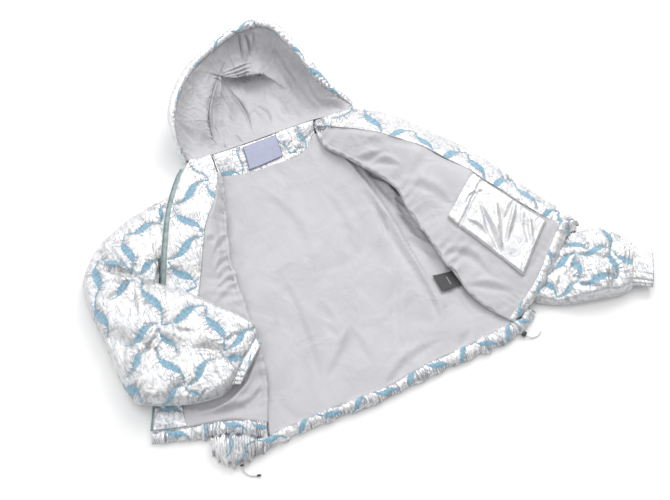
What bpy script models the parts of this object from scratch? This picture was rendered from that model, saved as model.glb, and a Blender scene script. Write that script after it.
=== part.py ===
"""A hooded quilted puffer jacket with a zip, laid open on its back with its lining up.

Metres, +Z up. +Y points from the hem to the hood, +X to the wearer's left. The origin is under the
middle of the back, on the surface that the jacket lies on. Every piece is a wall between an upper and
a lower grid of points. The grids come from short tables of sections, and what lies on a panel is made
from the panel's own points, moved out.
"""

import math

import bmesh
import bpy
import numpy as np
from mathutils import Vector

# ---------------------------------------------------------------- driving sizes
SEAM = 0.0003  # gap between two pieces that touch
CLOTH = 0.0018  # thickness of a lining
PADDING = 0.012  # thickness of the padded shell where nothing else sets it
HOOD_PADDING = 0.0135  # thickness of the hood's padded shell
LEAST_WALL = 0.0015  # the thinnest that a padded shell is pressed to
LATTICE = 0.115  # distance between the crossings of the leaf quilting
SWAY = 0.08  # how far a quilting line swings, as a share of LATTICE
PUFF = 0.007  # height of a quilted puff
TAPE_WIDTH = 0.012  # zip tape
TAPE_THICK = 0.0016
CORD = 0.0028  # diameter of the hem's drawcord
LABEL_THICK = 0.0008
LABEL_GAP = 0.0006
POCKET_GAP = 0.0008

# ---------------------------------------------------------------- sections
# Every point is (x, y, height of the upper face).

# Back, a row from the neck seam to the hem seam.
# left edge | left half | centre | right half | soft ridge | right edge
BACK = (
    ((-0.1575, 0.314, 0.038), (-0.094, 0.314, 0.036), (-0.030, 0.314, 0.035),
     (0.030, 0.314, 0.036), (0.060, 0.313, 0.037), (0.0840, 0.311, 0.038)),
    ((-0.1585, 0.292, 0.031), (-0.096, 0.283, 0.029), (-0.030, 0.281, 0.028),
     (0.022, 0.281, 0.028), (0.052, 0.287, 0.030), (0.0800, 0.2985, 0.032)),
    ((-0.1590, 0.266, 0.018), (-0.100, 0.249, 0.018), (-0.031, 0.248, 0.017),
     (0.012, 0.248, 0.017), (0.044, 0.258, 0.019), (0.0775, 0.284, 0.024)),
    ((-0.183, 0.208, 0.015), (-0.105, 0.200, 0.015), (-0.030, 0.198, 0.015),
     (0.040, 0.198, 0.015), (0.108, 0.203, 0.022), (0.150, 0.212, 0.014)),
    ((-0.213, 0.108, 0.015), (-0.115, 0.108, 0.015), (-0.025, 0.105, 0.014),
     (0.060, 0.105, 0.016), (0.124, 0.110, 0.025), (0.190, 0.120, 0.011)),
    ((-0.235, 0.010, 0.015), (-0.125, 0.010, 0.015), (-0.022, 0.008, 0.014),
     (0.070, 0.005, 0.016), (0.135, 0.008, 0.026), (0.210, 0.010, 0.011)),
    ((-0.248, -0.120, 0.015), (-0.135, -0.120, 0.014), (-0.025, -0.120, 0.014),
     (0.070, -0.120, 0.015), (0.138, -0.120, 0.024), (0.230, -0.120, 0.012)),
    ((-0.266, -0.240, 0.015), (-0.150, -0.240, 0.014), (-0.035, -0.240, 0.014),
     (0.065, -0.238, 0.015), (0.144, -0.235, 0.020), (0.250, -0.232, 0.012)),
    ((-0.288, -0.336, 0.015), (-0.165, -0.334, 0.015), (-0.049, -0.338, 0.015),
     (0.063, -0.325, 0.015), (0.150, -0.323, 0.016), (0.272, -0.312, 0.015)),
)
NECK_ROWS = 2  # the first rows of BACK carry the neck facing

# Wearer's right front, a row from the neck seam to the hem seam.
# zip edge | facing's inner edge | middle of the lining | fold over the back
RIGHT_FRONT = (
    ((-0.212, 0.311, 0.052), (-0.1645, 0.3128, 0.043), (-0.1622, 0.3129, 0.0425), (-0.1600, 0.313, 0.042)),
    ((-0.247, 0.274, 0.055), (-0.1685, 0.262, 0.035), (-0.1655, 0.262, 0.033), (-0.1625, 0.262, 0.031)),
    ((-0.288, 0.212, 0.058), (-0.197, 0.200, 0.048), (-0.185, 0.205, 0.041), (-0.1745, 0.210, 0.029)),
    ((-0.316, 0.155, 0.058), (-0.238, 0.142, 0.054), (-0.215, 0.147, 0.047), (-0.1935, 0.152, 0.030)),
    ((-0.340, 0.102, 0.050), (-0.272, 0.075, 0.047), (-0.244, 0.073, 0.043), (-0.2175, 0.072, 0.030)),
    ((-0.364, 0.050, 0.032), (-0.297, 0.025, 0.034), (-0.262, 0.018, 0.034), (-0.2265, 0.010, 0.028)),
    ((-0.404, -0.035, 0.020), (-0.345, -0.060, 0.024), (-0.290, -0.067, 0.027), (-0.2345, -0.075, 0.026)),
    ((-0.449, -0.130, 0.016), (-0.395, -0.150, 0.019), (-0.320, -0.165, 0.023), (-0.2450, -0.180, 0.025)),
    ((-0.470, -0.182, 0.015), (-0.423, -0.205, 0.018), (-0.338, -0.215, 0.022), (-0.2530, -0.225, 0.024)),
    ((-0.494, -0.236, 0.014), (-0.432, -0.255, 0.017), (-0.350, -0.274, 0.020), (-0.2850, -0.309, 0.020)),
)

# Wearer's left front, a row from the neck seam to the hem seam.
# fold over the back | middle of the lining | facing's inner edge | zip edge
LEFT_FRONT = (
    ((0.0812, 0.287, 0.034), (0.0822, 0.291, 0.036), (0.0828, 0.295, 0.038), (0.0865, 0.3050, 0.043)),
    ((0.085, 0.240, 0.038), (0.104, 0.250, 0.047), (0.123, 0.259, 0.054), (0.133, 0.299, 0.049)),
    ((0.108, 0.200, 0.043), (0.136, 0.212, 0.057), (0.165, 0.223, 0.066), (0.178, 0.2925, 0.048)),
    ((0.124, 0.169, 0.048), (0.157, 0.186, 0.061), (0.190, 0.201, 0.070), (0.218, 0.2740, 0.045)),
    ((0.142, 0.137, 0.052), (0.178, 0.157, 0.065), (0.215, 0.176, 0.073), (0.262, 0.236, 0.042)),
    ((0.175, 0.066, 0.058), (0.220, 0.097, 0.070), (0.262, 0.126, 0.075), (0.320, 0.160, 0.040)),
    ((0.176, 0.005, 0.055), (0.240, 0.036, 0.069), (0.303, 0.066, 0.073), (0.365, 0.095, 0.040)),
    ((0.186, -0.055, 0.049), (0.258, -0.010, 0.066), (0.330, 0.032, 0.070), (0.395, 0.042, 0.040)),
    ((0.192, -0.115, 0.044), (0.272, -0.058, 0.062), (0.348, -0.002, 0.068), (0.418, -0.008, 0.040)),
    ((0.201, -0.160, 0.039), (0.291, -0.106, 0.057), (0.376, -0.050, 0.064), (0.441, -0.055, 0.038)),
    ((0.208, -0.205, 0.035), (0.309, -0.156, 0.051), (0.405, -0.100, 0.059), (0.464, -0.102, 0.038)),
    ((0.224, -0.254, 0.030), (0.327, -0.209, 0.044), (0.434, -0.143, 0.053), (0.484, -0.140, 0.036)),
    ((0.257, -0.3045, 0.022), (0.340, -0.257, 0.035), (0.452, -0.163, 0.050), (0.489, -0.157, 0.036)),
)

# Wearer's right sleeve from the armhole round the elbow to the cuff; the forearm lies on the front.
# outer edge x, y | inner edge x, y | height of the crown
SLEEVE_RIGHT = (
    (-0.1800, 0.250, -0.2185, 0.110, 0.020),
    (-0.235, 0.267, -0.270, 0.105, 0.031),
    (-0.290, 0.259, -0.320, 0.103, 0.039),
    (-0.347, 0.246, -0.356, 0.103, 0.044),
    (-0.404, 0.227, -0.3565, 0.099, 0.049),
    (-0.478, 0.186, -0.3600, 0.090, 0.052),
    (-0.519, 0.127, -0.3660, 0.081, 0.055),
    (-0.526, 0.057, -0.3710, 0.072, 0.058),
    (-0.522, -0.010, -0.3745, 0.064, 0.061),
    (-0.520, -0.080, -0.3765, 0.056, 0.063),
    (-0.514, -0.145, -0.3770, 0.048, 0.065),
    (-0.495, -0.182, -0.355, 0.028, 0.066),
    (-0.455, -0.203, -0.325, 0.001, 0.066),
    (-0.413, -0.219, -0.290, -0.040, 0.064),
    (-0.375, -0.227, -0.250, -0.086, 0.061),
    (-0.345, -0.229, -0.231, -0.114, 0.056),
    (-0.326, -0.222, -0.233, -0.136, 0.050),
)
ELBOW_ROW = 10  # up to here the sleeve rests on the floor

# Wearer's left sleeve from the armhole, under its front, out past the hem to the cuff.
# upper edge x, y | lower edge x, y | height of the crown
SLEEVE_LEFT = (
    (0.1985, 0.200, 0.2115, 0.020, 0.022),
    (0.255, 0.190, 0.232, -0.050, 0.037),
    (0.315, 0.110, 0.258, -0.120, 0.041),
    (0.375, 0.025, 0.285, -0.180, 0.036),
    (0.410, -0.060, 0.300, -0.235, 0.028),
    (0.440, -0.120, 0.332, -0.287, 0.026),
    (0.474, -0.176, 0.380, -0.317, 0.033),
    (0.530, -0.190, 0.438, -0.334, 0.049),
    (0.562, -0.222, 0.492, -0.346, 0.043),
    (0.582, -0.248, 0.526, -0.346, 0.036),
)
CREASE = ((-0.517, -0.030), (-0.440, -0.078), (-0.370, -0.130), (-0.318, -0.150))
CREASE_DEPTH = 0.013
CREASE_WIDTH = 0.016

# Hood, a row from the wearer's right end of its opening round the crown to the left end.
# rim x, y, height | neck seam x, y, height | height of the floor | steepness of the wall
HOOD = (
    (-0.216, 0.324, 0.054, -0.207, 0.3124, 0.049, 0.045, 1.2),
    (-0.219, 0.362, 0.078, -0.186, 0.3132, 0.044, 0.032, 1.5),
    (-0.208, 0.408, 0.099, -0.160, 0.3144, 0.040, 0.022, 2.0),
    (-0.178, 0.456, 0.111, -0.130, 0.3149, 0.038, 0.017, 2.4),
    (-0.130, 0.503, 0.117, -0.098, 0.3149, 0.037, 0.016, 3.0),
    (-0.067, 0.537, 0.120, -0.064, 0.3149, 0.036, 0.016, 4.0),
    (-0.002, 0.562, 0.121, -0.030, 0.3149, 0.036, 0.016, 5.0),
    (0.050, 0.565, 0.120, 0.000, 0.3149, 0.036, 0.016, 5.0),
    (0.083, 0.545, 0.115, 0.026, 0.3149, 0.036, 0.016, 5.0),
    (0.102, 0.495, 0.107, 0.050, 0.3144, 0.037, 0.016, 4.5),
    (0.115, 0.440, 0.100, 0.078, 0.3128, 0.039, 0.017, 3.8),
    (0.126, 0.385, 0.090, 0.100, 0.3088, 0.041, 0.020, 2.8),
    (0.148, 0.350, 0.077, 0.126, 0.3016, 0.044, 0.028, 1.8),
    (0.170, 0.326, 0.062, 0.148, 0.2986, 0.047, 0.040, 1.3),
    (0.181, 0.309, 0.055, 0.170, 0.2956, 0.050, 0.047, 1.1),
)
HOOD_SEAM_ROW = 5.5  # the hood's centre seam
RIM_HEIGHT = 0.016

# Gathered hem of the back, a row from its end at the left front to the bunched corner.
# inner edge x, y | outer edge x, y | height of the crown
HEM_BACK = (
    (0.300, -0.298, 0.316, -0.310, 0.017),
    (0.276, -0.3135, 0.286, -0.333, 0.019),
    (0.228, -0.3180, 0.230, -0.346, 0.019),
    (0.150, -0.3240, 0.150, -0.348, 0.018),
    (0.063, -0.3260, 0.063, -0.350, 0.018),
    (-0.049, -0.3390, -0.049, -0.358, 0.018),
    (-0.165, -0.3350, -0.165, -0.355, 0.018),
    (-0.240, -0.3360, -0.242, -0.355, 0.019),
    (-0.296, -0.3400, -0.306, -0.360, 0.020),
    (-0.326, -0.3260, -0.340, -0.364, 0.022),
    (-0.350, -0.3110, -0.368, -0.364, 0.024),
    (-0.376, -0.3015, -0.392, -0.353, 0.023),
    (-0.398, -0.2950, -0.405, -0.325, 0.018),
)
HEM_BACK_GATHERS = 28
HEM_BUNCH_ROW = 8  # from here on the gathers are deep

# Hem of the right front. inner edge x, y | outer edge x, y | height of the crown
HEM_RIGHT = (
    (-0.4985, -0.2380, -0.506, -0.257, 0.013),
    (-0.4320, -0.2562, -0.440, -0.277, 0.015),
    (-0.3900, -0.2650, -0.402, -0.290, 0.017),
    (-0.3500, -0.2755, -0.362, -0.302, 0.019),
    (-0.3150, -0.2920, -0.326, -0.320, 0.020),
    (-0.2860, -0.3105, -0.294, -0.338, 0.019),
)
HEM_RIGHT_GATHERS = 8

# Hem of the left front, a row from the fold over the back to the zip.
# share across the front | width | drop of the outer edge
HEM_LEFT = (
    (0.000, 0.012, 0.001),
    (0.200, 0.014, 0.003),
    (0.400, 0.018, 0.005),
    (0.600, 0.020, 0.008),
    (0.800, 0.021, 0.011),
    (1.000, 0.016, 0.009),
)
HEM_LEFT_GATHERS = 14

# Places on a panel, as shares along and across it, for each corner in turn.
POCKET = ((0.610, 0.965), (0.614, 0.330), (0.955, 0.455), (0.915, 0.955))
POCKET_BAND_SHARE = 0.14
LABEL_NECK = ((0.096, 0.217), (0.075, 0.466), (0.845, 0.471), (0.932, 0.210))
LABEL_CARE = ((0.714, 0.836), (0.721, 0.943), (0.773, 0.939), (0.775, 0.833))

COLOURS = {  # red, green, blue, metallic, roughness
    "foil": (0.82, 0.83, 0.85, 0.85, 0.35),
    "lining": (0.66, 0.66, 0.70, 0.0, 0.75),
    "tape": (0.28, 0.38, 0.38, 0.0, 0.8),
    "label": (0.50, 0.54, 0.74, 0.0, 0.7),
    "care": (0.08, 0.08, 0.085, 0.0, 0.6),
    "metal": (0.12, 0.11, 0.10, 1.0, 0.35),
    "cord": (0.70, 0.69, 0.66, 0.0, 0.8),
    "toggle": (0.05, 0.05, 0.06, 0.0, 0.4),
}


# ---------------------------------------------------------------- shared forms
def clear_scene():
    for old in list(bpy.data.objects):
        bpy.data.objects.remove(old, do_unlink=True)


def material(name):
    red, green, blue, metallic, roughness = COLOURS[name]
    found = bpy.data.materials.get(name)
    if found:
        return found
    made = bpy.data.materials.new(name)
    made.use_nodes = True
    shader = made.node_tree.nodes["Principled BSDF"]
    shader.inputs["Base Color"].default_value = (red, green, blue, 1.0)
    shader.inputs["Metallic"].default_value = metallic
    shader.inputs["Roughness"].default_value = roughness
    return made


def own_material(name, finish):
    """A piece's own material, in one of the shared finishes."""
    made = material(finish).copy()
    made.name = name + "_finish"
    return made


def through(points, where):
    """Points of a smooth curve through the given points, at shares 0 to 1 of its run.

    The slope at a point is held to one and a half times its shorter neighbouring span.
    """
    p = np.asarray(points, float)
    spans = len(p) - 1
    step = np.diff(p, axis=0)
    size = np.maximum(np.linalg.norm(step, axis=-1, keepdims=True), 1e-9)
    slope = np.concatenate([step[:1], (step[:-1] + step[1:]) / 2, step[-1:]])
    least = np.concatenate([size[:1], np.minimum(size[:-1], size[1:]), size[-1:]])
    length = np.maximum(np.linalg.norm(slope, axis=-1, keepdims=True), 1e-9)
    slope = slope * np.minimum(1.0, 1.5 * least / length)
    at = np.clip(np.asarray(where, float), 0, 1) * spans
    i = np.minimum(at.astype(int), spans - 1)
    f = (at - i).reshape((-1,) + (1,) * (p.ndim - 1))
    start, end = p[i], p[i + 1]
    bend = 3 * (end - start) - 2 * slope[i] - slope[i + 1]
    twist = 2 * (start - end) + slope[i] + slope[i + 1]
    return start + slope[i] * f + bend * f**2 + twist * f**3


def surface(sections, along, across):
    """A grid of points on the smooth surface through a table of sections."""
    columns = through(np.swapaxes(np.asarray(sections, float), 0, 1), across)
    return through(np.swapaxes(columns, 0, 1), along)


def normals(grid):
    """Unit normals of a grid, on its upper side."""
    down = np.gradient(grid, axis=0)
    over = np.gradient(grid, axis=1)
    n = np.cross(over, down)
    n /= np.maximum(np.linalg.norm(n, axis=2, keepdims=True), 1e-12)
    middle = n[n.shape[0] // 2, n.shape[1] // 2]
    return n if middle[2] > 0 else -n


def moved(grid, out):
    """A grid moved out along its normals."""
    return grid + normals(grid) * out


def raised(grid, by):
    """A grid lifted, by one height or by one for each point."""
    lifted = grid.copy()
    lifted[:, :, 2] += by
    return lifted


def quilting(u, v):
    """How full a puff is, 0 on the stitched lines and 1 in the middle, at metres u, v on the cloth."""
    a = (u + v) / (LATTICE * math.sqrt(2))
    b = (u - v) / (LATTICE * math.sqrt(2))
    across_a = np.abs(np.sin(math.pi * (a + SWAY * np.sin(2 * math.pi * b))))
    across_b = np.abs(np.sin(math.pi * (b - SWAY * np.sin(2 * math.pi * a))))
    return np.sqrt(across_a * across_b)


def cloth_metres(grid):
    """How far each point is along and across the cloth, in metres from the grid's middle."""
    rows, columns = grid.shape[:2]
    middle = columns // 2
    steps = np.linalg.norm(np.diff(grid, axis=1), axis=2)
    v = np.concatenate([np.zeros((rows, 1)), np.cumsum(steps, axis=1)], axis=1)
    v -= v[:, middle : middle + 1]
    runs = np.linalg.norm(np.diff(grid[:, middle], axis=0), axis=1)
    u = np.concatenate([[0], np.cumsum(runs)])[:, None] + np.zeros((1, columns))
    return u, v


def edge_steps(cells, edge):
    """Shares 0 to 1 with one narrow cell at each end."""
    inside = np.linspace(edge, 1 - edge, cells - 1)
    return np.concatenate([[0], inside, [1]])


def body(name, points, faces, finish):
    """One closed object from points and faces, its faces turned out."""
    mesh = bpy.data.meshes.new(name)
    mesh.from_pydata([tuple(p) for p in points], [], faces)
    mesh.materials.append(own_material(name, finish))
    shape = bmesh.new()
    shape.from_mesh(mesh)
    bmesh.ops.recalc_face_normals(shape, faces=shape.faces)
    shape.to_mesh(mesh)
    shape.free()
    mesh.shade_smooth()
    made = bpy.data.objects.new(name, mesh)
    bpy.context.scene.collection.objects.link(made)
    return made


def wall(name, upper, lower, finish):
    """A closed wall between two grids of the same size, split along the same diagonals."""
    rows, columns = upper.shape[:2]
    count = rows * columns
    points = np.concatenate([upper.reshape(-1, 3), lower.reshape(-1, 3)])
    faces = []
    for i in range(rows - 1):
        for j in range(columns - 1):
            a, b = i * columns + j, i * columns + j + 1
            c, d = a + columns, b + columns
            faces += [(a, b, d), (a, d, c)]
            faces += [(count + a, count + d, count + b), (count + a, count + c, count + d)]
    around = [j for j in range(columns - 1)]
    around += [(i + 1) * columns - 1 for i in range(rows - 1)]
    around += [rows * columns - 1 - j for j in range(columns - 1)]
    around += [(rows - 1 - i) * columns for i in range(rows - 1)]
    for k, a in enumerate(around):
        b = around[(k + 1) % len(around)]
        faces += [(a, count + a, count + b), (a, count + b, b)]
    return body(name, points, faces, finish)


def loft(name, rings, finish):
    """A closed tube through rings of points, with its ends filled by fans."""
    rings = np.asarray(rings, float)
    count, sides = rings.shape[:2]
    points = list(rings.reshape(-1, 3)) + [rings[0].mean(axis=0), rings[-1].mean(axis=0)]
    faces = []
    for i in range(count - 1):
        for j in range(sides):
            k = (j + 1) % sides
            a, b = i * sides + j, i * sides + k
            c, d = a + sides, b + sides
            faces += [(a, b, d), (a, d, c)]
    last = (count - 1) * sides
    for j in range(sides):
        k = (j + 1) % sides
        faces.append((k, j, count * sides))
        faces.append((last + j, last + k, count * sides + 1))
    return body(name, points, faces, finish)


class Pile:
    """The height of what lies on the floor already, on a square raster."""

    STEP = 0.0025
    LOW = (-0.70, -0.50)
    SIZE = (600, 480)
    FINE = 16

    def __init__(self):
        self.heights = np.zeros(self.SIZE)

    def samples(self, grid):
        """Places spread over every cell of a grid: x and y indices in the raster, and heights."""
        f = (np.arange(self.FINE) + 0.5) / self.FINE
        over, down = np.meshgrid(f, f)
        a, b = grid[:-1, :-1, None, None], grid[:-1, 1:, None, None]
        c, d = grid[1:, :-1, None, None], grid[1:, 1:, None, None]
        s, t = over[None, None, :, :, None], down[None, None, :, :, None]
        spots = (a * (1 - s) + b * s) * (1 - t) + (c * (1 - s) + d * s) * t
        i = np.clip(((spots[..., 0] - self.LOW[0]) / self.STEP).astype(int), 1, self.SIZE[0] - 2)
        j = np.clip(((spots[..., 1] - self.LOW[1]) / self.STEP).astype(int), 1, self.SIZE[1] - 2)
        return i, j, spots[..., 2]

    def lay(self, grid):
        """Raise the raster, and the cells beside it, to a grid that has been laid."""
        i, j, z = self.samples(grid)
        for x in (-1, 0, 1):
            for y in (-1, 0, 1):
                np.maximum.at(self.heights, (i + x, j + y), z)

    def under(self, grid):
        """For each point of a grid, the highest level under the cells that it is a corner of."""
        i, j, _ = self.samples(grid)
        cells = self.heights[i, j].max(axis=(2, 3))
        level = np.zeros(grid.shape[:2])
        for corner in (level[:-1, :-1], level[:-1, 1:], level[1:, :-1], level[1:, 1:]):
            np.maximum(corner, cells, out=corner)
        return level


def underside(upper, level, thick):
    """The lower grid of a shell that lies on the level under it, or on the floor."""
    lower = upper.copy()
    floats = np.maximum(level + SEAM, upper[:, :, 2] - thick)
    lower[:, :, 2] = np.where(level > 0, floats, 0.0)
    lower[:, :, 2] = np.minimum(lower[:, :, 2], upper[:, :, 2] - LEAST_WALL)
    return lower


def on_panel(grid, along, across):
    """Points on a panel's own triangles at shares along and across it."""
    rows, columns = grid.shape[0] - 1, grid.shape[1] - 1
    u, v = np.clip(along, 0, 1) * rows, np.clip(across, 0, 1) * columns
    i, j = np.minimum(u.astype(int), rows - 1), np.minimum(v.astype(int), columns - 1)
    f, g = (u - i)[..., None], (v - j)[..., None]
    a, b, c, d = grid[i, j], grid[i, j + 1], grid[i + 1, j], grid[i + 1, j + 1]
    return np.where(g > f, a + g * (b - a) + f * (d - b), a + f * (c - a) + g * (d - c))


def seated(panel, corners, rows, columns, gap):
    """A grid between four corners of a panel, raised until it clears the panel everywhere."""
    first, second, third, fourth = (np.array(c, float) for c in corners)
    down, over = np.linspace(0, 1, rows)[:, None, None], np.linspace(0, 1, columns)[None, :, None]
    places = (first * (1 - over) + second * over) * (1 - down) + (fourth * (1 - over) + third * over) * down
    grid = on_panel(panel, places[:, :, 0], places[:, :, 1])
    f = np.linspace(0, 1, 7)
    lift = np.zeros((rows, columns))
    for r in range(rows - 1):
        for c in range(columns - 1):
            u, v = (part.ravel() for part in np.meshgrid(f, f, indexing="ij"))
            own = on_panel(grid[r : r + 2, c : c + 2], u, v)
            spots = on_panel(places[r : r + 2, c : c + 2], u, v)
            need = (on_panel(panel, spots[:, 0], spots[:, 1]) - own)[:, 2].max()
            block = lift[r : r + 2, c : c + 2]
            np.maximum(block, need, out=block)
    return raised(grid, lift + gap)


# ---------------------------------------------------------------- panels
BACK_COLUMNS = 14
BACK_ROWS = 17


def back(pile):
    """The back: padded shell, lining, neck facing and neck label."""
    across = np.linspace(0, 1, BACK_COLUMNS)
    neck_share = NECK_ROWS / (len(BACK) - 1)
    gap_share = SEAM / 0.6 / 2
    neck = np.linspace(0, neck_share - gap_share, 4)
    rest = np.linspace(neck_share + gap_share, 1, BACK_ROWS - 4)
    top = surface(BACK, np.concatenate([neck, rest]), across)
    shell_top = raised(top, -CLOTH - SEAM)
    floor = shell_top.copy()
    floor[:, :, 2] = 0.0
    wall("back_shell", shell_top, floor, "foil")
    wall("neck_facing", top[:4], raised(top[:4], -CLOTH), "foil")
    wall("back_lining", top[4:], raised(top[4:], -CLOTH), "lining")
    pile.lay(top)
    label = seated(top[:4], LABEL_NECK, 4, 5, LABEL_GAP)
    wall("label_neck", raised(label, LABEL_THICK), label, "label")
    label = seated(top[4:], LABEL_CARE, 4, 4, LABEL_GAP)
    wall("label_care", raised(label, 3 * LABEL_THICK), label, "care")
    pile.lay(raised(label, 3 * LABEL_THICK))
    return top[-1]


def front(name, sections, facing_first, facing_share, rows, columns, start, pile, thick):
    """A padded front shell with its facing and its lining on it. Shares run across the sections."""
    gap = 0.0015
    facing_columns, lining_columns = columns
    if facing_first:
        facing_at = np.linspace(0, facing_share - gap, facing_columns)
        lining_at = np.linspace(facing_share + gap, 1, lining_columns)
        across = np.concatenate([facing_at, lining_at])
    else:
        lining_at = np.linspace(0, facing_share - gap, lining_columns)
        facing_at = np.linspace(facing_share + gap, 1, facing_columns)
        across = np.concatenate([lining_at, facing_at])
    along = np.linspace(0, 1, rows)
    top = surface(sections, along, across)
    shell_top = raised(top, -CLOTH - SEAM)
    level = pile.under(shell_top)
    lower = underside(shell_top, level, thick)
    wall(name + "_shell", shell_top, lower, "foil")
    split = facing_columns if facing_first else lining_columns
    parts = (slice(0, split), slice(split, len(across)))
    facing_part, lining_part = parts if facing_first else parts[::-1]
    facing = top[:, facing_part]
    u, v = cloth_metres(facing)
    puffed = raised(facing, PUFF * 0.6 * quilting(u, v))
    wall(name + "_facing", puffed, raised(facing, -CLOTH), "foil")
    lining = top[start:, lining_part]
    wall(name + "_lining", lining, raised(lining, -CLOTH), "lining")
    pile.lay(puffed)
    pile.lay(top)
    return top, lining


def front_right(pile):
    top, _ = front("front_right", RIGHT_FRONT, True, 1 / 3, 22, (5, 6), 2, pile, PADDING + 0.002)
    pile.lay(zip_tape("zip_tape_right", top[1:, 0], top[1:, 1], -0.001, 0.0))


def front_left(pile):
    rows = 25
    top, lining = front("front_left", LEFT_FRONT, False, 2 / 3, rows, (4, 7), 1, pile, PADDING + 0.002)
    first = int(2.4 / (len(LEFT_FRONT) - 1) * rows)
    zip_tape("zip_tape_left", top[first:, -1], top[first:, -2], -0.006, 0.6)
    pocket(lining)


def zip_tape(name, edge, inside, lift, droop):
    """A flat tape beside a front's edge, running out from it and dropping by a share of its width."""
    out = edge - inside
    out[:, 2] = 0.0
    out /= np.linalg.norm(out, axis=1, keepdims=True)
    start = edge + out * SEAM * 2
    start[:, 2] += lift
    end = start + out * TAPE_WIDTH * (1 - 0.4 * droop)
    end[:, 2] -= TAPE_WIDTH * droop
    upper = np.stack([start, (start + end) / 2, end], axis=1)
    lower = upper.copy()
    lower[:, :, 2] -= TAPE_THICK
    wall(name, upper, lower, "tape")
    return upper


def pocket(lining):
    """The inner patch pocket on the left front's lining, and the hem of its mouth."""
    under = seated(lining, POCKET, 8, 7, POCKET_GAP)
    top = raised(under, CLOTH)
    wall("pocket_patch", top, under, "foil")
    corners = ((0.0, 0.0), (0.0, 1.0), (POCKET_BAND_SHARE, 1.0), (POCKET_BAND_SHARE, 0.0))
    band = seated(top, corners, 2, 7, SEAM)
    wall("pocket_band", raised(band, CLOTH), band, "foil")


# ---------------------------------------------------------------- sleeves
def roundness(shares, power):
    """The height of a pressed tube's upper face across it, 0 at its edges and 1 in the middle."""
    return (1 - np.abs(2 * shares - 1) ** power) ** (1 / power)


def crease_depth(grid):
    """How far the forearm's long crease sinks each point."""
    line = through(CREASE, np.linspace(0, 1, 25))
    to_line = grid[:, :, None, :2] - line[None, None]
    away = np.linalg.norm(to_line, axis=3).min(axis=2)
    return CREASE_DEPTH * np.exp(-((away / CREASE_WIDTH) ** 2))


def sleeve_grid(sections, along, across):
    """Plan places and crown height over a sleeve's sections."""
    table = np.asarray(sections, float)
    rows = through(table, along)
    outer, inner = rows[:, None, 0:2], rows[:, None, 2:4]
    plan = outer + (inner - outer) * across[None, :, None]
    crown = np.repeat(rows[:, 4:5], len(across), axis=1)
    return plan, crown


def sleeve_form(sections, along, across, base, puff_from):
    """Upper and lower grids of a pressed, quilted sleeve that lies on base."""
    plan, crown = sleeve_grid(sections, along, across)
    fold = base + 0.30 * (crown - base)
    swell = roundness(across, 2.6)[None, :]
    top = np.concatenate([plan, (fold + 0.004 + (crown - fold - 0.004) * swell)[:, :, None]], axis=2)
    low = np.concatenate([plan, (fold - 0.002 - (fold - 0.002 - base) * swell**0.4)[:, :, None]], axis=2)
    u, v = cloth_metres(top)
    fullness = np.clip((along - puff_from) / 0.08, 0, 1)[:, None]
    top[:, :, 2] += PUFF * fullness * swell * (quilting(u, v) - 0.45)
    return top, low


def sleeve_right_under(pile):
    """Lay the part of the right sleeve that the front covers."""
    along = np.linspace(0, 3 / (len(SLEEVE_RIGHT) - 1), 8)
    across = edge_steps(10, 0.05)
    plan, crown = sleeve_grid(SLEEVE_RIGHT, along, across)
    top, _ = sleeve_form(SLEEVE_RIGHT, along, across, np.zeros(crown.shape), 2.0)
    pile.lay(raised(top, 0.0005))


def sleeve_right(pile):
    """The right sleeve: upper arm under the front, elbow on the floor, forearm on the front."""
    across = edge_steps(12, 0.04)
    along = np.linspace(0, 1, 33)
    plan, crown = sleeve_grid(SLEEVE_RIGHT, along, across)
    flat = np.concatenate([plan, crown[:, :, None]], axis=2)
    folded = along > (ELBOW_ROW - 3.5) / (len(SLEEVE_RIGHT) - 1)
    base = np.where(folded[:, None], pile.under(flat), 0.0)
    base = np.where(base > 0, base + SEAM, 0.0)
    top, low = sleeve_form(SLEEVE_RIGHT, along, across, base, 0.22)
    swell = roundness(across, 2.6)[None, :]
    top[:, :, 2] -= crease_depth(top) * folded[:, None] * swell
    wall("sleeve_right", top, low, "foil")
    cuff("cuff_right", top[-1], low[-1], 0.016, 9)


def sleeve_left(pile):
    """The left sleeve, under its front and out past the hem."""
    across = edge_steps(12, 0.04)
    along = np.linspace(0, 1, 24)
    plan, crown = sleeve_grid(SLEEVE_LEFT, along, across)
    top, low = sleeve_form(SLEEVE_LEFT, along, across, np.zeros(crown.shape), 0.74)
    wall("sleeve_left", top, low, "foil")
    pile.lay(top)
    cuff("cuff_left", top[-1], low[-1], 0.045, 10)


def cuff(name, top_edge, low_edge, length, gathers):
    """A gathered cuff that carries on from a sleeve's last section, with a slit for its mouth."""
    ends = top_edge[-1] - top_edge[0]
    out = np.array([-ends[1], ends[0], 0.0])
    out /= np.linalg.norm(out)
    centre = (top_edge.mean(axis=0) + low_edge.mean(axis=0)) / 2
    if name == "cuff_right":
        out = np.array([0.72, -0.69, 0.0])
    else:
        out = np.array([0.80, -0.60, 0.0])
    sides = 4 * gathers
    turn = np.linspace(0, 2 * math.pi, sides, endpoint=False)
    half = np.linalg.norm(ends) * 0.46
    thick = (top_edge[:, 2].max() - low_edge[:, 2].min()) * 0.5
    middle_z = (top_edge[:, 2].max() + low_edge[:, 2].min()) / 2
    along_edge = ends / np.linalg.norm(ends)
    along_edge[2] = 0.0
    rings = []
    for step, (far, width, height) in enumerate(((0.0, 0.97, 0.80), (0.35, 0.90, 0.72), (1.0, 0.84, 0.62))):
        ripple = 1 + 0.05 * np.cos(gathers * turn + step * math.pi)
        ring = np.zeros((sides, 3))
        spot = centre + out * (SEAM * 1.3 + length * far)
        ring[:, :2] = spot[:2] + np.outer(np.cos(turn) * half * width, along_edge[:2])
        ring[:, 2] = middle_z + np.sin(turn) * thick * height * ripple
        rings.append(ring)
    loft(name, rings, "foil")


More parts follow.
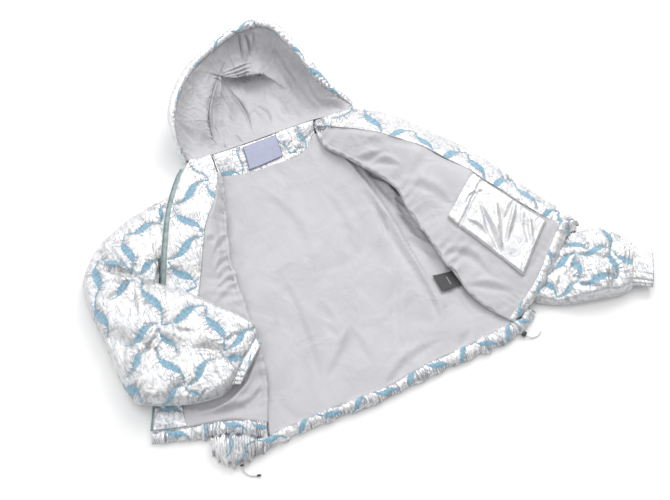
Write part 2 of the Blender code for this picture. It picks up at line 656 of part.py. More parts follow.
# ---------------------------------------------------------------- hood
def hood_points(along, across):
    """The hood's inner face: steep from the rim, level along the floor, up to the neck seam."""
    rows = through(HOOD, along)
    rim, neck = rows[:, None, 0:3], rows[:, None, 3:6]
    level, steep = rows[:, None, 6], rows[:, None, 7]
    s = across[None, :]
    grid = rim + (neck - rim) * s[:, :, None]
    wall_part = (rim[:, :, 2] - RIM_HEIGHT - level) * (1 - s) ** steep
    seam_part = (neck[:, :, 2] - level) * s**4
    grid[:, :, 2] = level + wall_part + seam_part
    return grid


def hood_outward(grid, along, across):
    """Which way the hood's cloth is thick: square to the wall, and straight down at its seam and ends."""
    ends = np.clip(1.3 - np.minimum(along, 1 - along) * (len(HOOD) - 1) / 1.6, 0, 1)
    share = np.maximum(ends[:, None], (np.clip(across, 0, 1) ** 3)[None, :])[:, :, None]
    out = -normals(grid) * (1 - share) + np.array([0.0, 0.0, -1.0]) * share
    return out / np.linalg.norm(out, axis=2, keepdims=True)


HOOD_ACROSS = np.array([0, 0.04, 0.09, 0.15, 0.23, 0.33, 0.46, 0.60, 0.75, 0.89, 1.0])


def hood():
    """Two linings and two padded shells that meet at the centre seam, and the rim's casing."""
    last = len(HOOD) - 1
    gap = 0.004
    halves = (("right", 0.0, HOOD_SEAM_ROW - gap, 12), ("left", HOOD_SEAM_ROW + gap, last, 17))
    edges, outs, ups = [], [], []
    for side, first, end, rows in halves:
        along = np.linspace(first, end, rows) / last
        inner = hood_points(along, HOOD_ACROSS)
        out = hood_outward(inner, along, HOOD_ACROSS)
        lining_out = inner + out * CLOTH
        shell_in = inner + out * (CLOTH + SEAM)
        shell_out = inner + out * (CLOTH + SEAM + HOOD_PADDING)
        shell_out[:, :, 2] = np.maximum(shell_out[:, :, 2], 0.0)
        wall("hood_lining_" + side, inner, lining_out, "lining")
        wall("hood_shell_" + side, shell_in, shell_out, "foil")
        up = inner[:, 0] - inner[:, 1]
        up /= np.linalg.norm(up, axis=1, keepdims=True)
        edges += list(inner[:, 0])
        outs += list(out[:, 0])
        ups += list(up)
    hood_rim(np.array(edges), np.array(outs), np.array(ups))


RIM_RING = (  # out from the inner face, up from the wall's edge
    (-0.001, 0.0012), (-0.002, 0.008), (0.002, 0.014), (0.009, 0.0155),
    (0.015, 0.013), (0.0175, 0.007), (0.0150, 0.0032),
)


def hood_rim(edge, out, up):
    """The gathered casing on the hood's edge, one gather between every two rows of the hood."""
    rings = []
    for i in range(len(edge)):
        base = [edge[i] + out[i] * a + up[i] * b for a, b in RIM_RING]
        if i:
            half = [(p + q) / 2 for p, q in zip(rings[-1], base)]
            middle = np.mean(half, axis=0)
            puffed = [middle + (p - middle) * 1.10 for p in half]
            rings.append([half[0]] + puffed[1:-1] + [half[-1]])
        rings.append(base)
    loft("hood_rim", rings, "foil")


# ---------------------------------------------------------------- hems
def hem_rings(table, gathers, steps_each, deep_from, depth, deep, edge=None):
    """Rings of a gathered casing that lies on the floor, along a panel's edge where it has one."""
    table = np.asarray(table, float)
    count = gathers * steps_each + 1
    along = np.linspace(0, 1, count)
    rows = through(table, along)
    rings = []
    for k in range(count):
        inner = np.array([rows[k, 0], rows[k, 1], 0.0])
        outer = np.array([rows[k, 2], rows[k, 3], 0.0])
        if edge is not None and edge[0, 0] < inner[0] < edge[-1, 0]:
            inner[1] = np.interp(inner[0], edge[:, 0], edge[:, 1]) - 3 * SEAM
        crown = rows[k, 4]
        wave = math.cos(2 * math.pi * k / steps_each)
        size = deep if along[k] * (len(table) - 1) > deep_from else depth
        reach = outer - inner
        profile = (
            (0.0, 0.001),
            (0.0, 0.80),
            (0.30, 1.0 + size * wave),
            (0.72, 0.88 + size * wave),
            (1.0 + size * wave, 0.45),
            (0.86 + size * wave, 0.0),
            (0.25, 0.0),
        )
        rings.append([inner + reach * a + np.array([0, 0, crown * max(b, 0)]) for a, b in profile])
    return rings


def hems(pile, back_edge):
    """The gathered hems of the back and of the right front."""
    rings = hem_rings(HEM_BACK, HEM_BACK_GATHERS, 3, HEM_BUNCH_ROW, 0.08, 0.09, back_edge)
    loft("hem_back", rings, "foil")
    pile.lay(np.array(rings))
    rings = hem_rings(HEM_RIGHT, HEM_RIGHT_GATHERS, 3, len(HEM_RIGHT), 0.05, 0.05)
    loft("hem_right", rings, "foil")


def hem_left(pile):
    """The left front's hem, beyond the front's last row, on what lies under it."""
    rows = through(HEM_LEFT, np.linspace(0, 1, HEM_LEFT_GATHERS * 2 + 1))
    edge = surface(LEFT_FRONT, [1.0], rows[:, 0])[0]
    run = np.gradient(edge, axis=0)
    out = np.stack([run[:, 1], -run[:, 0], np.zeros(len(run))], axis=1)
    out /= np.linalg.norm(out, axis=1, keepdims=True)
    out = through(out, np.linspace(0, 1, len(out)))
    wave = np.cos(math.pi * np.arange(len(rows)))[:, None]
    share = np.array([0.0, 0.3, 0.7, 1.0])[None, :]
    ripple = np.array([0.0, 1.0, 1.0, 0.3])[None, :]
    reach = SEAM * 4 + rows[:, None, 1] * share * (1 + 0.06 * wave)
    upper = edge[:, None, :] + out[:, None, :] * reach[:, :, None]
    upper[:, :, 2] += 0.0014 * wave * ripple + 0.003 * np.sin(math.pi * share) - rows[:, None, 2] * share
    level = pile.under(upper)
    lower = underside(upper, level, 0.011)
    wall("hem_left", upper, lower, "foil")


# ---------------------------------------------------------------- small hard pieces
def block(name, centre, size, turn, finish):
    """A small rounded block, turned about Z."""
    shape = bmesh.new()
    bmesh.ops.create_cube(shape, size=1.0)
    bmesh.ops.scale(shape, vec=Vector(size), verts=shape.verts)
    bmesh.ops.bevel(shape, geom=shape.edges[:], offset=min(size) * 0.25, segments=2, affect="EDGES")
    mesh = bpy.data.meshes.new(name)
    shape.to_mesh(mesh)
    shape.free()
    mesh.materials.append(own_material(name, finish))
    made = bpy.data.objects.new(name, mesh)
    made.location = centre
    made.rotation_euler = (0, 0, turn)
    bpy.context.scene.collection.objects.link(made)
    return made


def cord(name, route, finish):
    """A round cord along a smooth route."""
    route = np.asarray(route, float)
    length = np.linalg.norm(np.diff(route, axis=0), axis=1).sum()
    count = max(4, int(length / (2.5 * CORD)))
    points = through(route, np.linspace(0, 1, count))
    curve = bpy.data.curves.new(name, "CURVE")
    curve.dimensions = "3D"
    curve.bevel_depth = CORD / 2
    curve.bevel_resolution = 2
    curve.use_fill_caps = True
    curve.render_resolution_u = 0
    spline = curve.splines.new("POLY")
    spline.points.add(len(points) - 1)
    for point, place in zip(spline.points, points):
        point.co = (*place, 1.0)
    curve.materials.append(own_material(name, finish))
    made = bpy.data.objects.new(name, curve)
    bpy.context.scene.collection.objects.link(made)
    return made


# Routes of the hem's cord ends, from the eyelet outwards.
CORD_RIGHT = ((-0.3618, -0.3712, 0.0040), (-0.3625, -0.3790, 0.0019), (-0.3590, -0.3880, 0.0015),
              (-0.3520, -0.3950, 0.0015), (-0.3430, -0.3990, 0.0015))
CORD_LEFT = ((0.2755, -0.3479, 0.0060), (0.2790, -0.3530, 0.0042), (0.2860, -0.3572, 0.0022),
             (0.2950, -0.3580, 0.0015), (0.3030, -0.3555, 0.0015), (0.3090, -0.3510, 0.0015))


def small_pieces():
    block("eyelet_right", (-0.3612, -0.3691, 0.006), (0.008, 0.003, 0.008), 0.0, "metal")
    cord("cord_hem_right", CORD_RIGHT, "cord")
    block("cord_tip_right", (-0.3385, -0.4000, 0.0022), (0.008, 0.004, 0.0040), -0.25, "toggle")
    block("zip_box", (0.4983, -0.1641, 0.0235), (0.008, 0.013, 0.0035), -0.1, "metal")
    block("toggle_left", (0.2734, -0.3444, 0.0060), (0.010, 0.007, 0.010), 0.55, "toggle")
    cord("cord_hem_left", CORD_LEFT, "cord")


def build():
    clear_scene()
    pile = Pile()
    back_edge = back(pile)
    sleeve_right_under(pile)
    sleeve_left(pile)
    front_right(pile)
    hems(pile, back_edge)
    hem_left(pile)
    front_left(pile)
    sleeve_right(pile)
    hood()
    small_pieces()


build()
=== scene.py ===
"""Looks of a hooded quilted puffer jacket that lies open on its back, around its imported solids."""

import math

import bmesh
import bpy
import numpy as np
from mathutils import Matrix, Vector
from mathutils.bvhtree import BVHTree


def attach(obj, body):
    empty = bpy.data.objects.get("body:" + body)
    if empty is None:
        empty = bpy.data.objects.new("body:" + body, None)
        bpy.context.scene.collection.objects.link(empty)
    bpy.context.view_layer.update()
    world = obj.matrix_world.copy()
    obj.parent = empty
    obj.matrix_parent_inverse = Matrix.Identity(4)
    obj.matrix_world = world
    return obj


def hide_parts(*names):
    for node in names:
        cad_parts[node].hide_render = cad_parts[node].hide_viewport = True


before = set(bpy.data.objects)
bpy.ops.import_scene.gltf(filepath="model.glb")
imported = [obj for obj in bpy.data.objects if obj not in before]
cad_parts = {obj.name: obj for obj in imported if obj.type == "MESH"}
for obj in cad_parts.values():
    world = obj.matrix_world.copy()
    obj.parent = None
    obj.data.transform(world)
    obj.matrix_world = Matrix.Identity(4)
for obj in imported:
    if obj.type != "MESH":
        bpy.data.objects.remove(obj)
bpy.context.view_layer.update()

# ---------------------------------------------------------------- camera, floor and light
VIEW_TURN = math.radians(-24)
VIEW_RISE = math.radians(60)
VIEW_DISTANCE = 2.4
LENS = 59.8
SKY_MIDDLE = (-0.12, 0.40, 0.91)  # where the sky is brightest
SKY_STOPS = ((0.0, 0.07), (0.45, 0.10), (0.60, 0.20), (0.75, 0.46), (0.88, 0.92), (1.0, 1.0))
ROOM_LIGHT = 1.63
LAMP_OVER = 36.0  # watts
FLOOR_HALF = 40.0  # far enough for the floor to fill the view from a low side


def linked(name, data):
    """A new object in the scene."""
    made = bpy.data.objects.new(name, data)
    bpy.context.scene.collection.objects.link(made)
    return made


def camera():
    """Looks down at the middle of the jacket from beyond its hem."""
    flat = math.cos(VIEW_RISE)
    back = Vector((math.sin(VIEW_TURN) * flat, -math.cos(VIEW_TURN) * flat, math.sin(VIEW_RISE)))
    data = bpy.data.cameras.new("camera")
    data.lens = LENS
    data.sensor_width = 36.0
    data.clip_start = 0.01
    made = linked("camera", data)
    made.location = back * VIEW_DISTANCE
    made.rotation_euler = (-back).to_track_quat("-Z", "Y").to_euler()
    bpy.context.scene.camera = made


def area_light(name, place, aim, size, watts, tint):
    """A soft lamp that faces a point."""
    data = bpy.data.lights.new(name, "AREA")
    data.shape = "RECTANGLE"
    data.size = size[0]
    data.size_y = size[1]
    data.energy = watts
    data.color = tint
    made = linked(name, data)
    made.location = place
    made.rotation_euler = (Vector(aim) - Vector(place)).to_track_quat("-Z", "Y").to_euler()


def lights():
    """A wide soft sky that is brightest behind the hood, with gentle uneven bands, and one broad lamp."""
    world = bpy.data.worlds.new("room")
    bpy.context.scene.world = world
    world.use_nodes = True
    tree = world.node_tree
    place = tree.nodes.new("ShaderNodeTexCoord")
    facing = tree.nodes.new("ShaderNodeVectorMath")
    facing.operation = "DOT_PRODUCT"
    facing.inputs[1].default_value = Vector(SKY_MIDDLE).normalized()
    tree.links.new(place.outputs["Generated"], facing.inputs[0])
    share = tree.nodes.new("ShaderNodeMapRange")
    share.inputs["From Min"].default_value = -1.0
    tree.links.new(facing.outputs["Value"], share.inputs["Value"])
    bands = tree.nodes.new("ShaderNodeTexNoise")
    bands.inputs["Scale"].default_value = 2.6
    bands.inputs["Detail"].default_value = 2.0
    tree.links.new(place.outputs["Generated"], bands.inputs["Vector"])
    uneven = tree.nodes.new("ShaderNodeMapRange")
    for key, value in (("From Min", 0.35), ("From Max", 0.65), ("To Min", 0.62), ("To Max", 1.2)):
        uneven.inputs[key].default_value = value
    tree.links.new(bands.outputs[0], uneven.inputs["Value"])
    ramp = tree.nodes.new("ShaderNodeValToRGB")
    tree.links.new(share.outputs[0], ramp.inputs[0])
    while len(ramp.color_ramp.elements) < len(SKY_STOPS):
        ramp.color_ramp.elements.new(0.5)
    for element, (at, grey) in zip(ramp.color_ramp.elements, SKY_STOPS):
        element.position = at
        element.color = (grey, grey * 1.003, grey * 1.01, 1.0)
    power = tree.nodes.new("ShaderNodeMath")
    power.operation = "MULTIPLY"
    power.inputs[1].default_value = ROOM_LIGHT
    tree.links.new(uneven.outputs[0], power.inputs[0])
    back = tree.nodes["Background"]
    tree.links.new(ramp.outputs[0], back.inputs[0])
    tree.links.new(power.outputs[0], back.inputs[1])
    area_light("lamp_over", (1.5, 1.5, 2.1), (0.0, 0.1, 0.0), (1.6, 1.3), LAMP_OVER, (1.0, 0.997, 0.99))


# ---------------------------------------------------------------- driving sizes
SEAM = 0.0003  # gap between two pieces that touch
CLOTH = 0.0018  # thickness of a lining
PADDING = 0.012  # thickness of the padded shell where nothing else sets it
HOOD_PADDING = 0.0135  # thickness of the hood's padded shell
LEAST_WALL = 0.0015  # the thinnest that a padded shell is pressed to
LATTICE = 0.115  # distance between the crossings of the leaf quilting
SWAY = 0.08  # how far a quilting line swings, as a share of LATTICE
PUFF = 0.007  # height of a quilted puff
TAPE_WIDTH = 0.012  # zip tape
TAPE_THICK = 0.0016
CORD = 0.0028  # diameter of the hem's drawcord
LABEL_THICK = 0.0008
LABEL_GAP = 0.0006
POCKET_GAP = 0.0008

# ---------------------------------------------------------------- sections
# Every point is (x, y, height of the upper face).

# Back, a row from the neck seam to the hem seam.
# left edge | left half | centre | right half | soft ridge | right edge
BACK = (
    ((-0.1575, 0.314, 0.038), (-0.094, 0.314, 0.036), (-0.030, 0.314, 0.035),
     (0.030, 0.314, 0.036), (0.060, 0.313, 0.037), (0.0840, 0.311, 0.038)),
    ((-0.1585, 0.292, 0.031), (-0.096, 0.283, 0.029), (-0.030, 0.281, 0.028),
     (0.022, 0.281, 0.028), (0.052, 0.287, 0.030), (0.0800, 0.2985, 0.032)),
    ((-0.1590, 0.266, 0.018), (-0.100, 0.249, 0.018), (-0.031, 0.248, 0.017),
     (0.012, 0.248, 0.017), (0.044, 0.258, 0.019), (0.0775, 0.284, 0.024)),
    ((-0.183, 0.208, 0.015), (-0.105, 0.200, 0.015), (-0.030, 0.198, 0.015),
     (0.040, 0.198, 0.015), (0.108, 0.203, 0.022), (0.150, 0.212, 0.014)),
    ((-0.213, 0.108, 0.015), (-0.115, 0.108, 0.015), (-0.025, 0.105, 0.014),
     (0.060, 0.105, 0.016), (0.124, 0.110, 0.025), (0.190, 0.120, 0.011)),
    ((-0.235, 0.010, 0.015), (-0.125, 0.010, 0.015), (-0.022, 0.008, 0.014),
     (0.070, 0.005, 0.016), (0.135, 0.008, 0.026), (0.210, 0.010, 0.011)),
    ((-0.248, -0.120, 0.015), (-0.135, -0.120, 0.014), (-0.025, -0.120, 0.014),
     (0.070, -0.120, 0.015), (0.138, -0.120, 0.024), (0.230, -0.120, 0.012)),
    ((-0.266, -0.240, 0.015), (-0.150, -0.240, 0.014), (-0.035, -0.240, 0.014),
     (0.065, -0.238, 0.015), (0.144, -0.235, 0.020), (0.250, -0.232, 0.012)),
    ((-0.288, -0.336, 0.015), (-0.165, -0.334, 0.015), (-0.049, -0.338, 0.015),
     (0.063, -0.325, 0.015), (0.150, -0.323, 0.016), (0.272, -0.312, 0.015)),
)
NECK_ROWS = 2  # the first rows of BACK carry the neck facing

# Wearer's right front, a row from the neck seam to the hem seam.
# zip edge | facing's inner edge | middle of the lining | fold over the back
RIGHT_FRONT = (
    ((-0.212, 0.311, 0.052), (-0.1645, 0.3128, 0.043), (-0.1622, 0.3129, 0.0425), (-0.1600, 0.313, 0.042)),
    ((-0.247, 0.274, 0.055), (-0.1685, 0.262, 0.035), (-0.1655, 0.262, 0.033), (-0.1625, 0.262, 0.031)),
    ((-0.288, 0.212, 0.058), (-0.197, 0.200, 0.048), (-0.185, 0.205, 0.041), (-0.1745, 0.210, 0.029)),
    ((-0.316, 0.155, 0.058), (-0.238, 0.142, 0.054), (-0.215, 0.147, 0.047), (-0.1935, 0.152, 0.030)),
    ((-0.340, 0.102, 0.050), (-0.272, 0.075, 0.047), (-0.244, 0.073, 0.043), (-0.2175, 0.072, 0.030)),
    ((-0.364, 0.050, 0.032), (-0.297, 0.025, 0.034), (-0.262, 0.018, 0.034), (-0.2265, 0.010, 0.028)),
    ((-0.404, -0.035, 0.020), (-0.345, -0.060, 0.024), (-0.290, -0.067, 0.027), (-0.2345, -0.075, 0.026)),
    ((-0.449, -0.130, 0.016), (-0.395, -0.150, 0.019), (-0.320, -0.165, 0.023), (-0.2450, -0.180, 0.025)),
    ((-0.470, -0.182, 0.015), (-0.423, -0.205, 0.018), (-0.338, -0.215, 0.022), (-0.2530, -0.225, 0.024)),
    ((-0.494, -0.236, 0.014), (-0.432, -0.255, 0.017), (-0.350, -0.274, 0.020), (-0.2850, -0.309, 0.020)),
)

# Wearer's left front, a row from the neck seam to the hem seam.
# fold over the back | middle of the lining | facing's inner edge | zip edge
LEFT_FRONT = (
    ((0.0812, 0.287, 0.034), (0.0822, 0.291, 0.036), (0.0828, 0.295, 0.038), (0.0865, 0.3050, 0.043)),
    ((0.085, 0.240, 0.038), (0.104, 0.250, 0.047), (0.123, 0.259, 0.054), (0.133, 0.299, 0.049)),
    ((0.108, 0.200, 0.043), (0.136, 0.212, 0.057), (0.165, 0.223, 0.066), (0.178, 0.2925, 0.048)),
    ((0.124, 0.169, 0.048), (0.157, 0.186, 0.061), (0.190, 0.201, 0.070), (0.218, 0.2740, 0.045)),
    ((0.142, 0.137, 0.052), (0.178, 0.157, 0.065), (0.215, 0.176, 0.073), (0.262, 0.236, 0.042)),
    ((0.175, 0.066, 0.058), (0.220, 0.097, 0.070), (0.262, 0.126, 0.075), (0.320, 0.160, 0.040)),
    ((0.176, 0.005, 0.055), (0.240, 0.036, 0.069), (0.303, 0.066, 0.073), (0.365, 0.095, 0.040)),
    ((0.186, -0.055, 0.049), (0.258, -0.010, 0.066), (0.330, 0.032, 0.070), (0.395, 0.042, 0.040)),
    ((0.192, -0.115, 0.044), (0.272, -0.058, 0.062), (0.348, -0.002, 0.068), (0.418, -0.008, 0.040)),
    ((0.201, -0.160, 0.039), (0.291, -0.106, 0.057), (0.376, -0.050, 0.064), (0.441, -0.055, 0.038)),
    ((0.208, -0.205, 0.035), (0.309, -0.156, 0.051), (0.405, -0.100, 0.059), (0.464, -0.102, 0.038)),
    ((0.224, -0.254, 0.030), (0.327, -0.209, 0.044), (0.434, -0.143, 0.053), (0.484, -0.140, 0.036)),
    ((0.257, -0.3045, 0.022), (0.340, -0.257, 0.035), (0.452, -0.163, 0.050), (0.489, -0.157, 0.036)),
)

# Wearer's right sleeve from the armhole round the elbow to the cuff; the forearm lies on the front.
# outer edge x, y | inner edge x, y | height of the crown
SLEEVE_RIGHT = (
    (-0.1800, 0.250, -0.2185, 0.110, 0.020),
    (-0.235, 0.267, -0.270, 0.105, 0.031),
    (-0.290, 0.259, -0.320, 0.103, 0.039),
    (-0.347, 0.246, -0.356, 0.103, 0.044),
    (-0.404, 0.227, -0.3565, 0.099, 0.049),
    (-0.478, 0.186, -0.3600, 0.090, 0.052),
    (-0.519, 0.127, -0.3660, 0.081, 0.055),
    (-0.526, 0.057, -0.3710, 0.072, 0.058),
    (-0.522, -0.010, -0.3745, 0.064, 0.061),
    (-0.520, -0.080, -0.3765, 0.056, 0.063),
    (-0.514, -0.145, -0.3770, 0.048, 0.065),
    (-0.495, -0.182, -0.355, 0.028, 0.066),
    (-0.455, -0.203, -0.325, 0.001, 0.066),
    (-0.413, -0.219, -0.290, -0.040, 0.064),
    (-0.375, -0.227, -0.250, -0.086, 0.061),
    (-0.345, -0.229, -0.231, -0.114, 0.056),
    (-0.326, -0.222, -0.233, -0.136, 0.050),
)
ELBOW_ROW = 10  # up to here the sleeve rests on the floor

# Wearer's left sleeve from the armhole, under its front, out past the hem to the cuff.
# upper edge x, y | lower edge x, y | height of the crown
SLEEVE_LEFT = (
    (0.1985, 0.200, 0.2115, 0.020, 0.022),
    (0.255, 0.190, 0.232, -0.050, 0.037),
    (0.315, 0.110, 0.258, -0.120, 0.041),
    (0.375, 0.025, 0.285, -0.180, 0.036),
    (0.410, -0.060, 0.300, -0.235, 0.028),
    (0.440, -0.120, 0.332, -0.287, 0.026),
    (0.474, -0.176, 0.380, -0.317, 0.033),
    (0.530, -0.190, 0.438, -0.334, 0.049),
    (0.562, -0.222, 0.492, -0.346, 0.043),
    (0.582, -0.248, 0.526, -0.346, 0.036),
)
CREASE = ((-0.517, -0.030), (-0.440, -0.078), (-0.370, -0.130), (-0.318, -0.150))
CREASE_DEPTH = 0.013
CREASE_WIDTH = 0.016

# Hood, a row from the wearer's right end of its opening round the crown to the left end.
# rim x, y, height | neck seam x, y, height | height of the floor | steepness of the wall
HOOD = (
    (-0.216, 0.324, 0.054, -0.207, 0.3124, 0.049, 0.045, 1.2),
    (-0.219, 0.362, 0.078, -0.186, 0.3132, 0.044, 0.032, 1.5),
    (-0.208, 0.408, 0.099, -0.160, 0.3144, 0.040, 0.022, 2.0),
    (-0.178, 0.456, 0.111, -0.130, 0.3149, 0.038, 0.017, 2.4),
    (-0.130, 0.503, 0.117, -0.098, 0.3149, 0.037, 0.016, 3.0),
    (-0.067, 0.537, 0.120, -0.064, 0.3149, 0.036, 0.016, 4.0),
    (-0.002, 0.562, 0.121, -0.030, 0.3149, 0.036, 0.016, 5.0),
    (0.050, 0.565, 0.120, 0.000, 0.3149, 0.036, 0.016, 5.0),
    (0.083, 0.545, 0.115, 0.026, 0.3149, 0.036, 0.016, 5.0),
    (0.102, 0.495, 0.107, 0.050, 0.3144, 0.037, 0.016, 4.5),
    (0.115, 0.440, 0.100, 0.078, 0.3128, 0.039, 0.017, 3.8),
    (0.126, 0.385, 0.090, 0.100, 0.3088, 0.041, 0.020, 2.8),
    (0.148, 0.350, 0.077, 0.126, 0.3016, 0.044, 0.028, 1.8),
    (0.170, 0.326, 0.062, 0.148, 0.2986, 0.047, 0.040, 1.3),
    (0.181, 0.309, 0.055, 0.170, 0.2956, 0.050, 0.047, 1.1),
)
HOOD_SEAM_ROW = 5.5  # the hood's centre seam
HOOD_GAP = 0.004  # half of the gap at that seam, in rows
RIM_HEIGHT = 0.016

# Gathered hem of the back, a row from its end at the left front to the bunched corner.
# inner edge x, y | outer edge x, y | height of the crown
HEM_BACK = (
    (0.300, -0.298, 0.316, -0.310, 0.017),
    (0.276, -0.3135, 0.286, -0.333, 0.019),
    (0.228, -0.3180, 0.230, -0.346, 0.019),
    (0.150, -0.3240, 0.150, -0.348, 0.018),
    (0.063, -0.3260, 0.063, -0.350, 0.018),
    (-0.049, -0.3390, -0.049, -0.358, 0.018),
    (-0.165, -0.3350, -0.165, -0.355, 0.018),
    (-0.240, -0.3360, -0.242, -0.355, 0.019),
    (-0.296, -0.3400, -0.306, -0.360, 0.020),
    (-0.326, -0.3260, -0.340, -0.364, 0.022),
    (-0.350, -0.3110, -0.368, -0.364, 0.024),
    (-0.376, -0.3015, -0.392, -0.353, 0.023),
    (-0.398, -0.2950, -0.405, -0.325, 0.018),
)
HEM_BACK_GATHERS = 28
HEM_BUNCH_ROW = 8  # from here on the gathers are deep

# Hem of the right front. inner edge x, y | outer edge x, y | height of the crown
HEM_RIGHT = (
    (-0.4985, -0.2380, -0.506, -0.257, 0.013),
    (-0.4320, -0.2562, -0.440, -0.277, 0.015),
    (-0.3900, -0.2650, -0.402, -0.290, 0.017),
    (-0.3500, -0.2755, -0.362, -0.302, 0.019),
    (-0.3150, -0.2920, -0.326, -0.320, 0.020),
    (-0.2860, -0.3105, -0.294, -0.338, 0.019),
)
HEM_RIGHT_GATHERS = 8

# Hem of the left front, a row from the fold over the back to the zip.
# share across the front | width | drop of the outer edge
HEM_LEFT = (
    (0.000, 0.012, 0.001),
    (0.200, 0.014, 0.003),
    (0.400, 0.018, 0.005),
    (0.600, 0.020, 0.008),
    (0.800, 0.021, 0.011),
    (1.000, 0.016, 0.009),
)
HEM_LEFT_GATHERS = 14

# Places on a panel, as shares along and across it, for each corner in turn.
POCKET = ((0.610, 0.965), (0.614, 0.330), (0.955, 0.455), (0.915, 0.955))
POCKET_BAND_SHARE = 0.14
LABEL_NECK = ((0.096, 0.217), (0.075, 0.466), (0.845, 0.471), (0.932, 0.210))
LABEL_CARE = ((0.714, 0.836), (0.721, 0.943), (0.773, 0.939), (0.775, 0.833))


# ---------------------------------------------------------------- surfaces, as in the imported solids
def through(points, where):
    """Points of a smooth curve through the given points, at shares 0 to 1 of its run.

    The slope at a point is held to one and a half times its shorter neighbouring span.
    """
    p = np.asarray(points, float)
    spans = len(p) - 1
    step = np.diff(p, axis=0)
    size = np.maximum(np.linalg.norm(step, axis=-1, keepdims=True), 1e-9)
    slope = np.concatenate([step[:1], (step[:-1] + step[1:]) / 2, step[-1:]])
    least = np.concatenate([size[:1], np.minimum(size[:-1], size[1:]), size[-1:]])
    length = np.maximum(np.linalg.norm(slope, axis=-1, keepdims=True), 1e-9)
    slope = slope * np.minimum(1.0, 1.5 * least / length)
    at = np.clip(np.asarray(where, float), 0, 1) * spans
    i = np.minimum(at.astype(int), spans - 1)
    f = (at - i).reshape((-1,) + (1,) * (p.ndim - 1))
    start, end = p[i], p[i + 1]
    bend = 3 * (end - start) - 2 * slope[i] - slope[i + 1]
    twist = 2 * (start - end) + slope[i] + slope[i + 1]
    return start + slope[i] * f + bend * f**2 + twist * f**3


def surface(sections, along, across):
    """A grid of points on the smooth surface through a table of sections."""
    columns = through(np.swapaxes(np.asarray(sections, float), 0, 1), across)
    return through(np.swapaxes(columns, 0, 1), along)


def normals(grid):
    """Unit normals of a grid, on its upper side."""
    down = np.gradient(grid, axis=0)
    over = np.gradient(grid, axis=1)
    n = np.cross(over, down)
    n /= np.maximum(np.linalg.norm(n, axis=2, keepdims=True), 1e-12)
    middle = n[n.shape[0] // 2, n.shape[1] // 2]
    return n if middle[2] > 0 else -n


def moved(grid, out):
    """A grid moved out along its normals."""
    return grid + normals(grid) * out


def raised(grid, by):
    """A grid lifted, by one height or by one for each point."""
    lifted = grid.copy()
    lifted[:, :, 2] += by
    return lifted


def quilting(u, v):
    """How full a puff is, 0 on the stitched lines and 1 in the middle, at metres u, v on the cloth."""
    a = (u + v) / (LATTICE * math.sqrt(2))
    b = (u - v) / (LATTICE * math.sqrt(2))
    across_a = np.abs(np.sin(math.pi * (a + SWAY * np.sin(2 * math.pi * b))))
    across_b = np.abs(np.sin(math.pi * (b - SWAY * np.sin(2 * math.pi * a))))
    return np.sqrt(across_a * across_b)


def cloth_metres(grid):
    """How far each point is along and across the cloth, in metres from the grid's middle."""
    rows, columns = grid.shape[:2]
    middle = columns // 2
    steps = np.linalg.norm(np.diff(grid, axis=1), axis=2)
    v = np.concatenate([np.zeros((rows, 1)), np.cumsum(steps, axis=1)], axis=1)
    v -= v[:, middle : middle + 1]
    runs = np.linalg.norm(np.diff(grid[:, middle], axis=0), axis=1)
    u = np.concatenate([[0], np.cumsum(runs)])[:, None] + np.zeros((1, columns))
    return u, v


def edge_steps(cells, edge):
    """Shares 0 to 1 with one narrow cell at each end."""
    inside = np.linspace(edge, 1 - edge, cells - 1)
    return np.concatenate([[0], inside, [1]])


GRIDS = {}  # each wall's upper and lower grid
RINGS = {}  # each tube's rings


def wall(name, upper, lower):
    """Keep the two grids of a packed wall."""
    GRIDS[name] = (np.array(upper), np.array(lower))


def loft(name, rings):
    """Keep the rings of a packed tube."""
    RINGS[name] = np.array(rings, float)


class Pile:
    """The height of what lies on the floor already, on a square raster."""

    STEP = 0.0025
    LOW = (-0.70, -0.50)
    SIZE = (600, 480)
    FINE = 16

    def __init__(self):
        self.heights = np.zeros(self.SIZE)

    def samples(self, grid):
        """Places spread over every cell of a grid: x and y indices in the raster, and heights."""
        f = (np.arange(self.FINE) + 0.5) / self.FINE
        over, down = np.meshgrid(f, f)
        a, b = grid[:-1, :-1, None, None], grid[:-1, 1:, None, None]
        c, d = grid[1:, :-1, None, None], grid[1:, 1:, None, None]
        s, t = over[None, None, :, :, None], down[None, None, :, :, None]
        spots = (a * (1 - s) + b * s) * (1 - t) + (c * (1 - s) + d * s) * t
        i = np.clip(((spots[..., 0] - self.LOW[0]) / self.STEP).astype(int), 1, self.SIZE[0] - 2)
        j = np.clip(((spots[..., 1] - self.LOW[1]) / self.STEP).astype(int), 1, self.SIZE[1] - 2)
        return i, j, spots[..., 2]

    def lay(self, grid):
        """Raise the raster, and the cells beside it, to a grid that has been laid."""
        i, j, z = self.samples(grid)
        for x in (-1, 0, 1):
            for y in (-1, 0, 1):
                np.maximum.at(self.heights, (i + x, j + y), z)

    def under(self, grid):
        """For each point of a grid, the highest level under the cells that it is a corner of."""
        i, j, _ = self.samples(grid)
        cells = self.heights[i, j].max(axis=(2, 3))
        level = np.zeros(grid.shape[:2])
        for corner in (level[:-1, :-1], level[:-1, 1:], level[1:, :-1], level[1:, 1:]):
            np.maximum(corner, cells, out=corner)
        return level


def underside(upper, level, thick):
    """The lower grid of a shell that lies on the level under it, or on the floor."""
    lower = upper.copy()
    floats = np.maximum(level + SEAM, upper[:, :, 2] - thick)
    lower[:, :, 2] = np.where(level > 0, floats, 0.0)
    lower[:, :, 2] = np.minimum(lower[:, :, 2], upper[:, :, 2] - LEAST_WALL)
    return lower


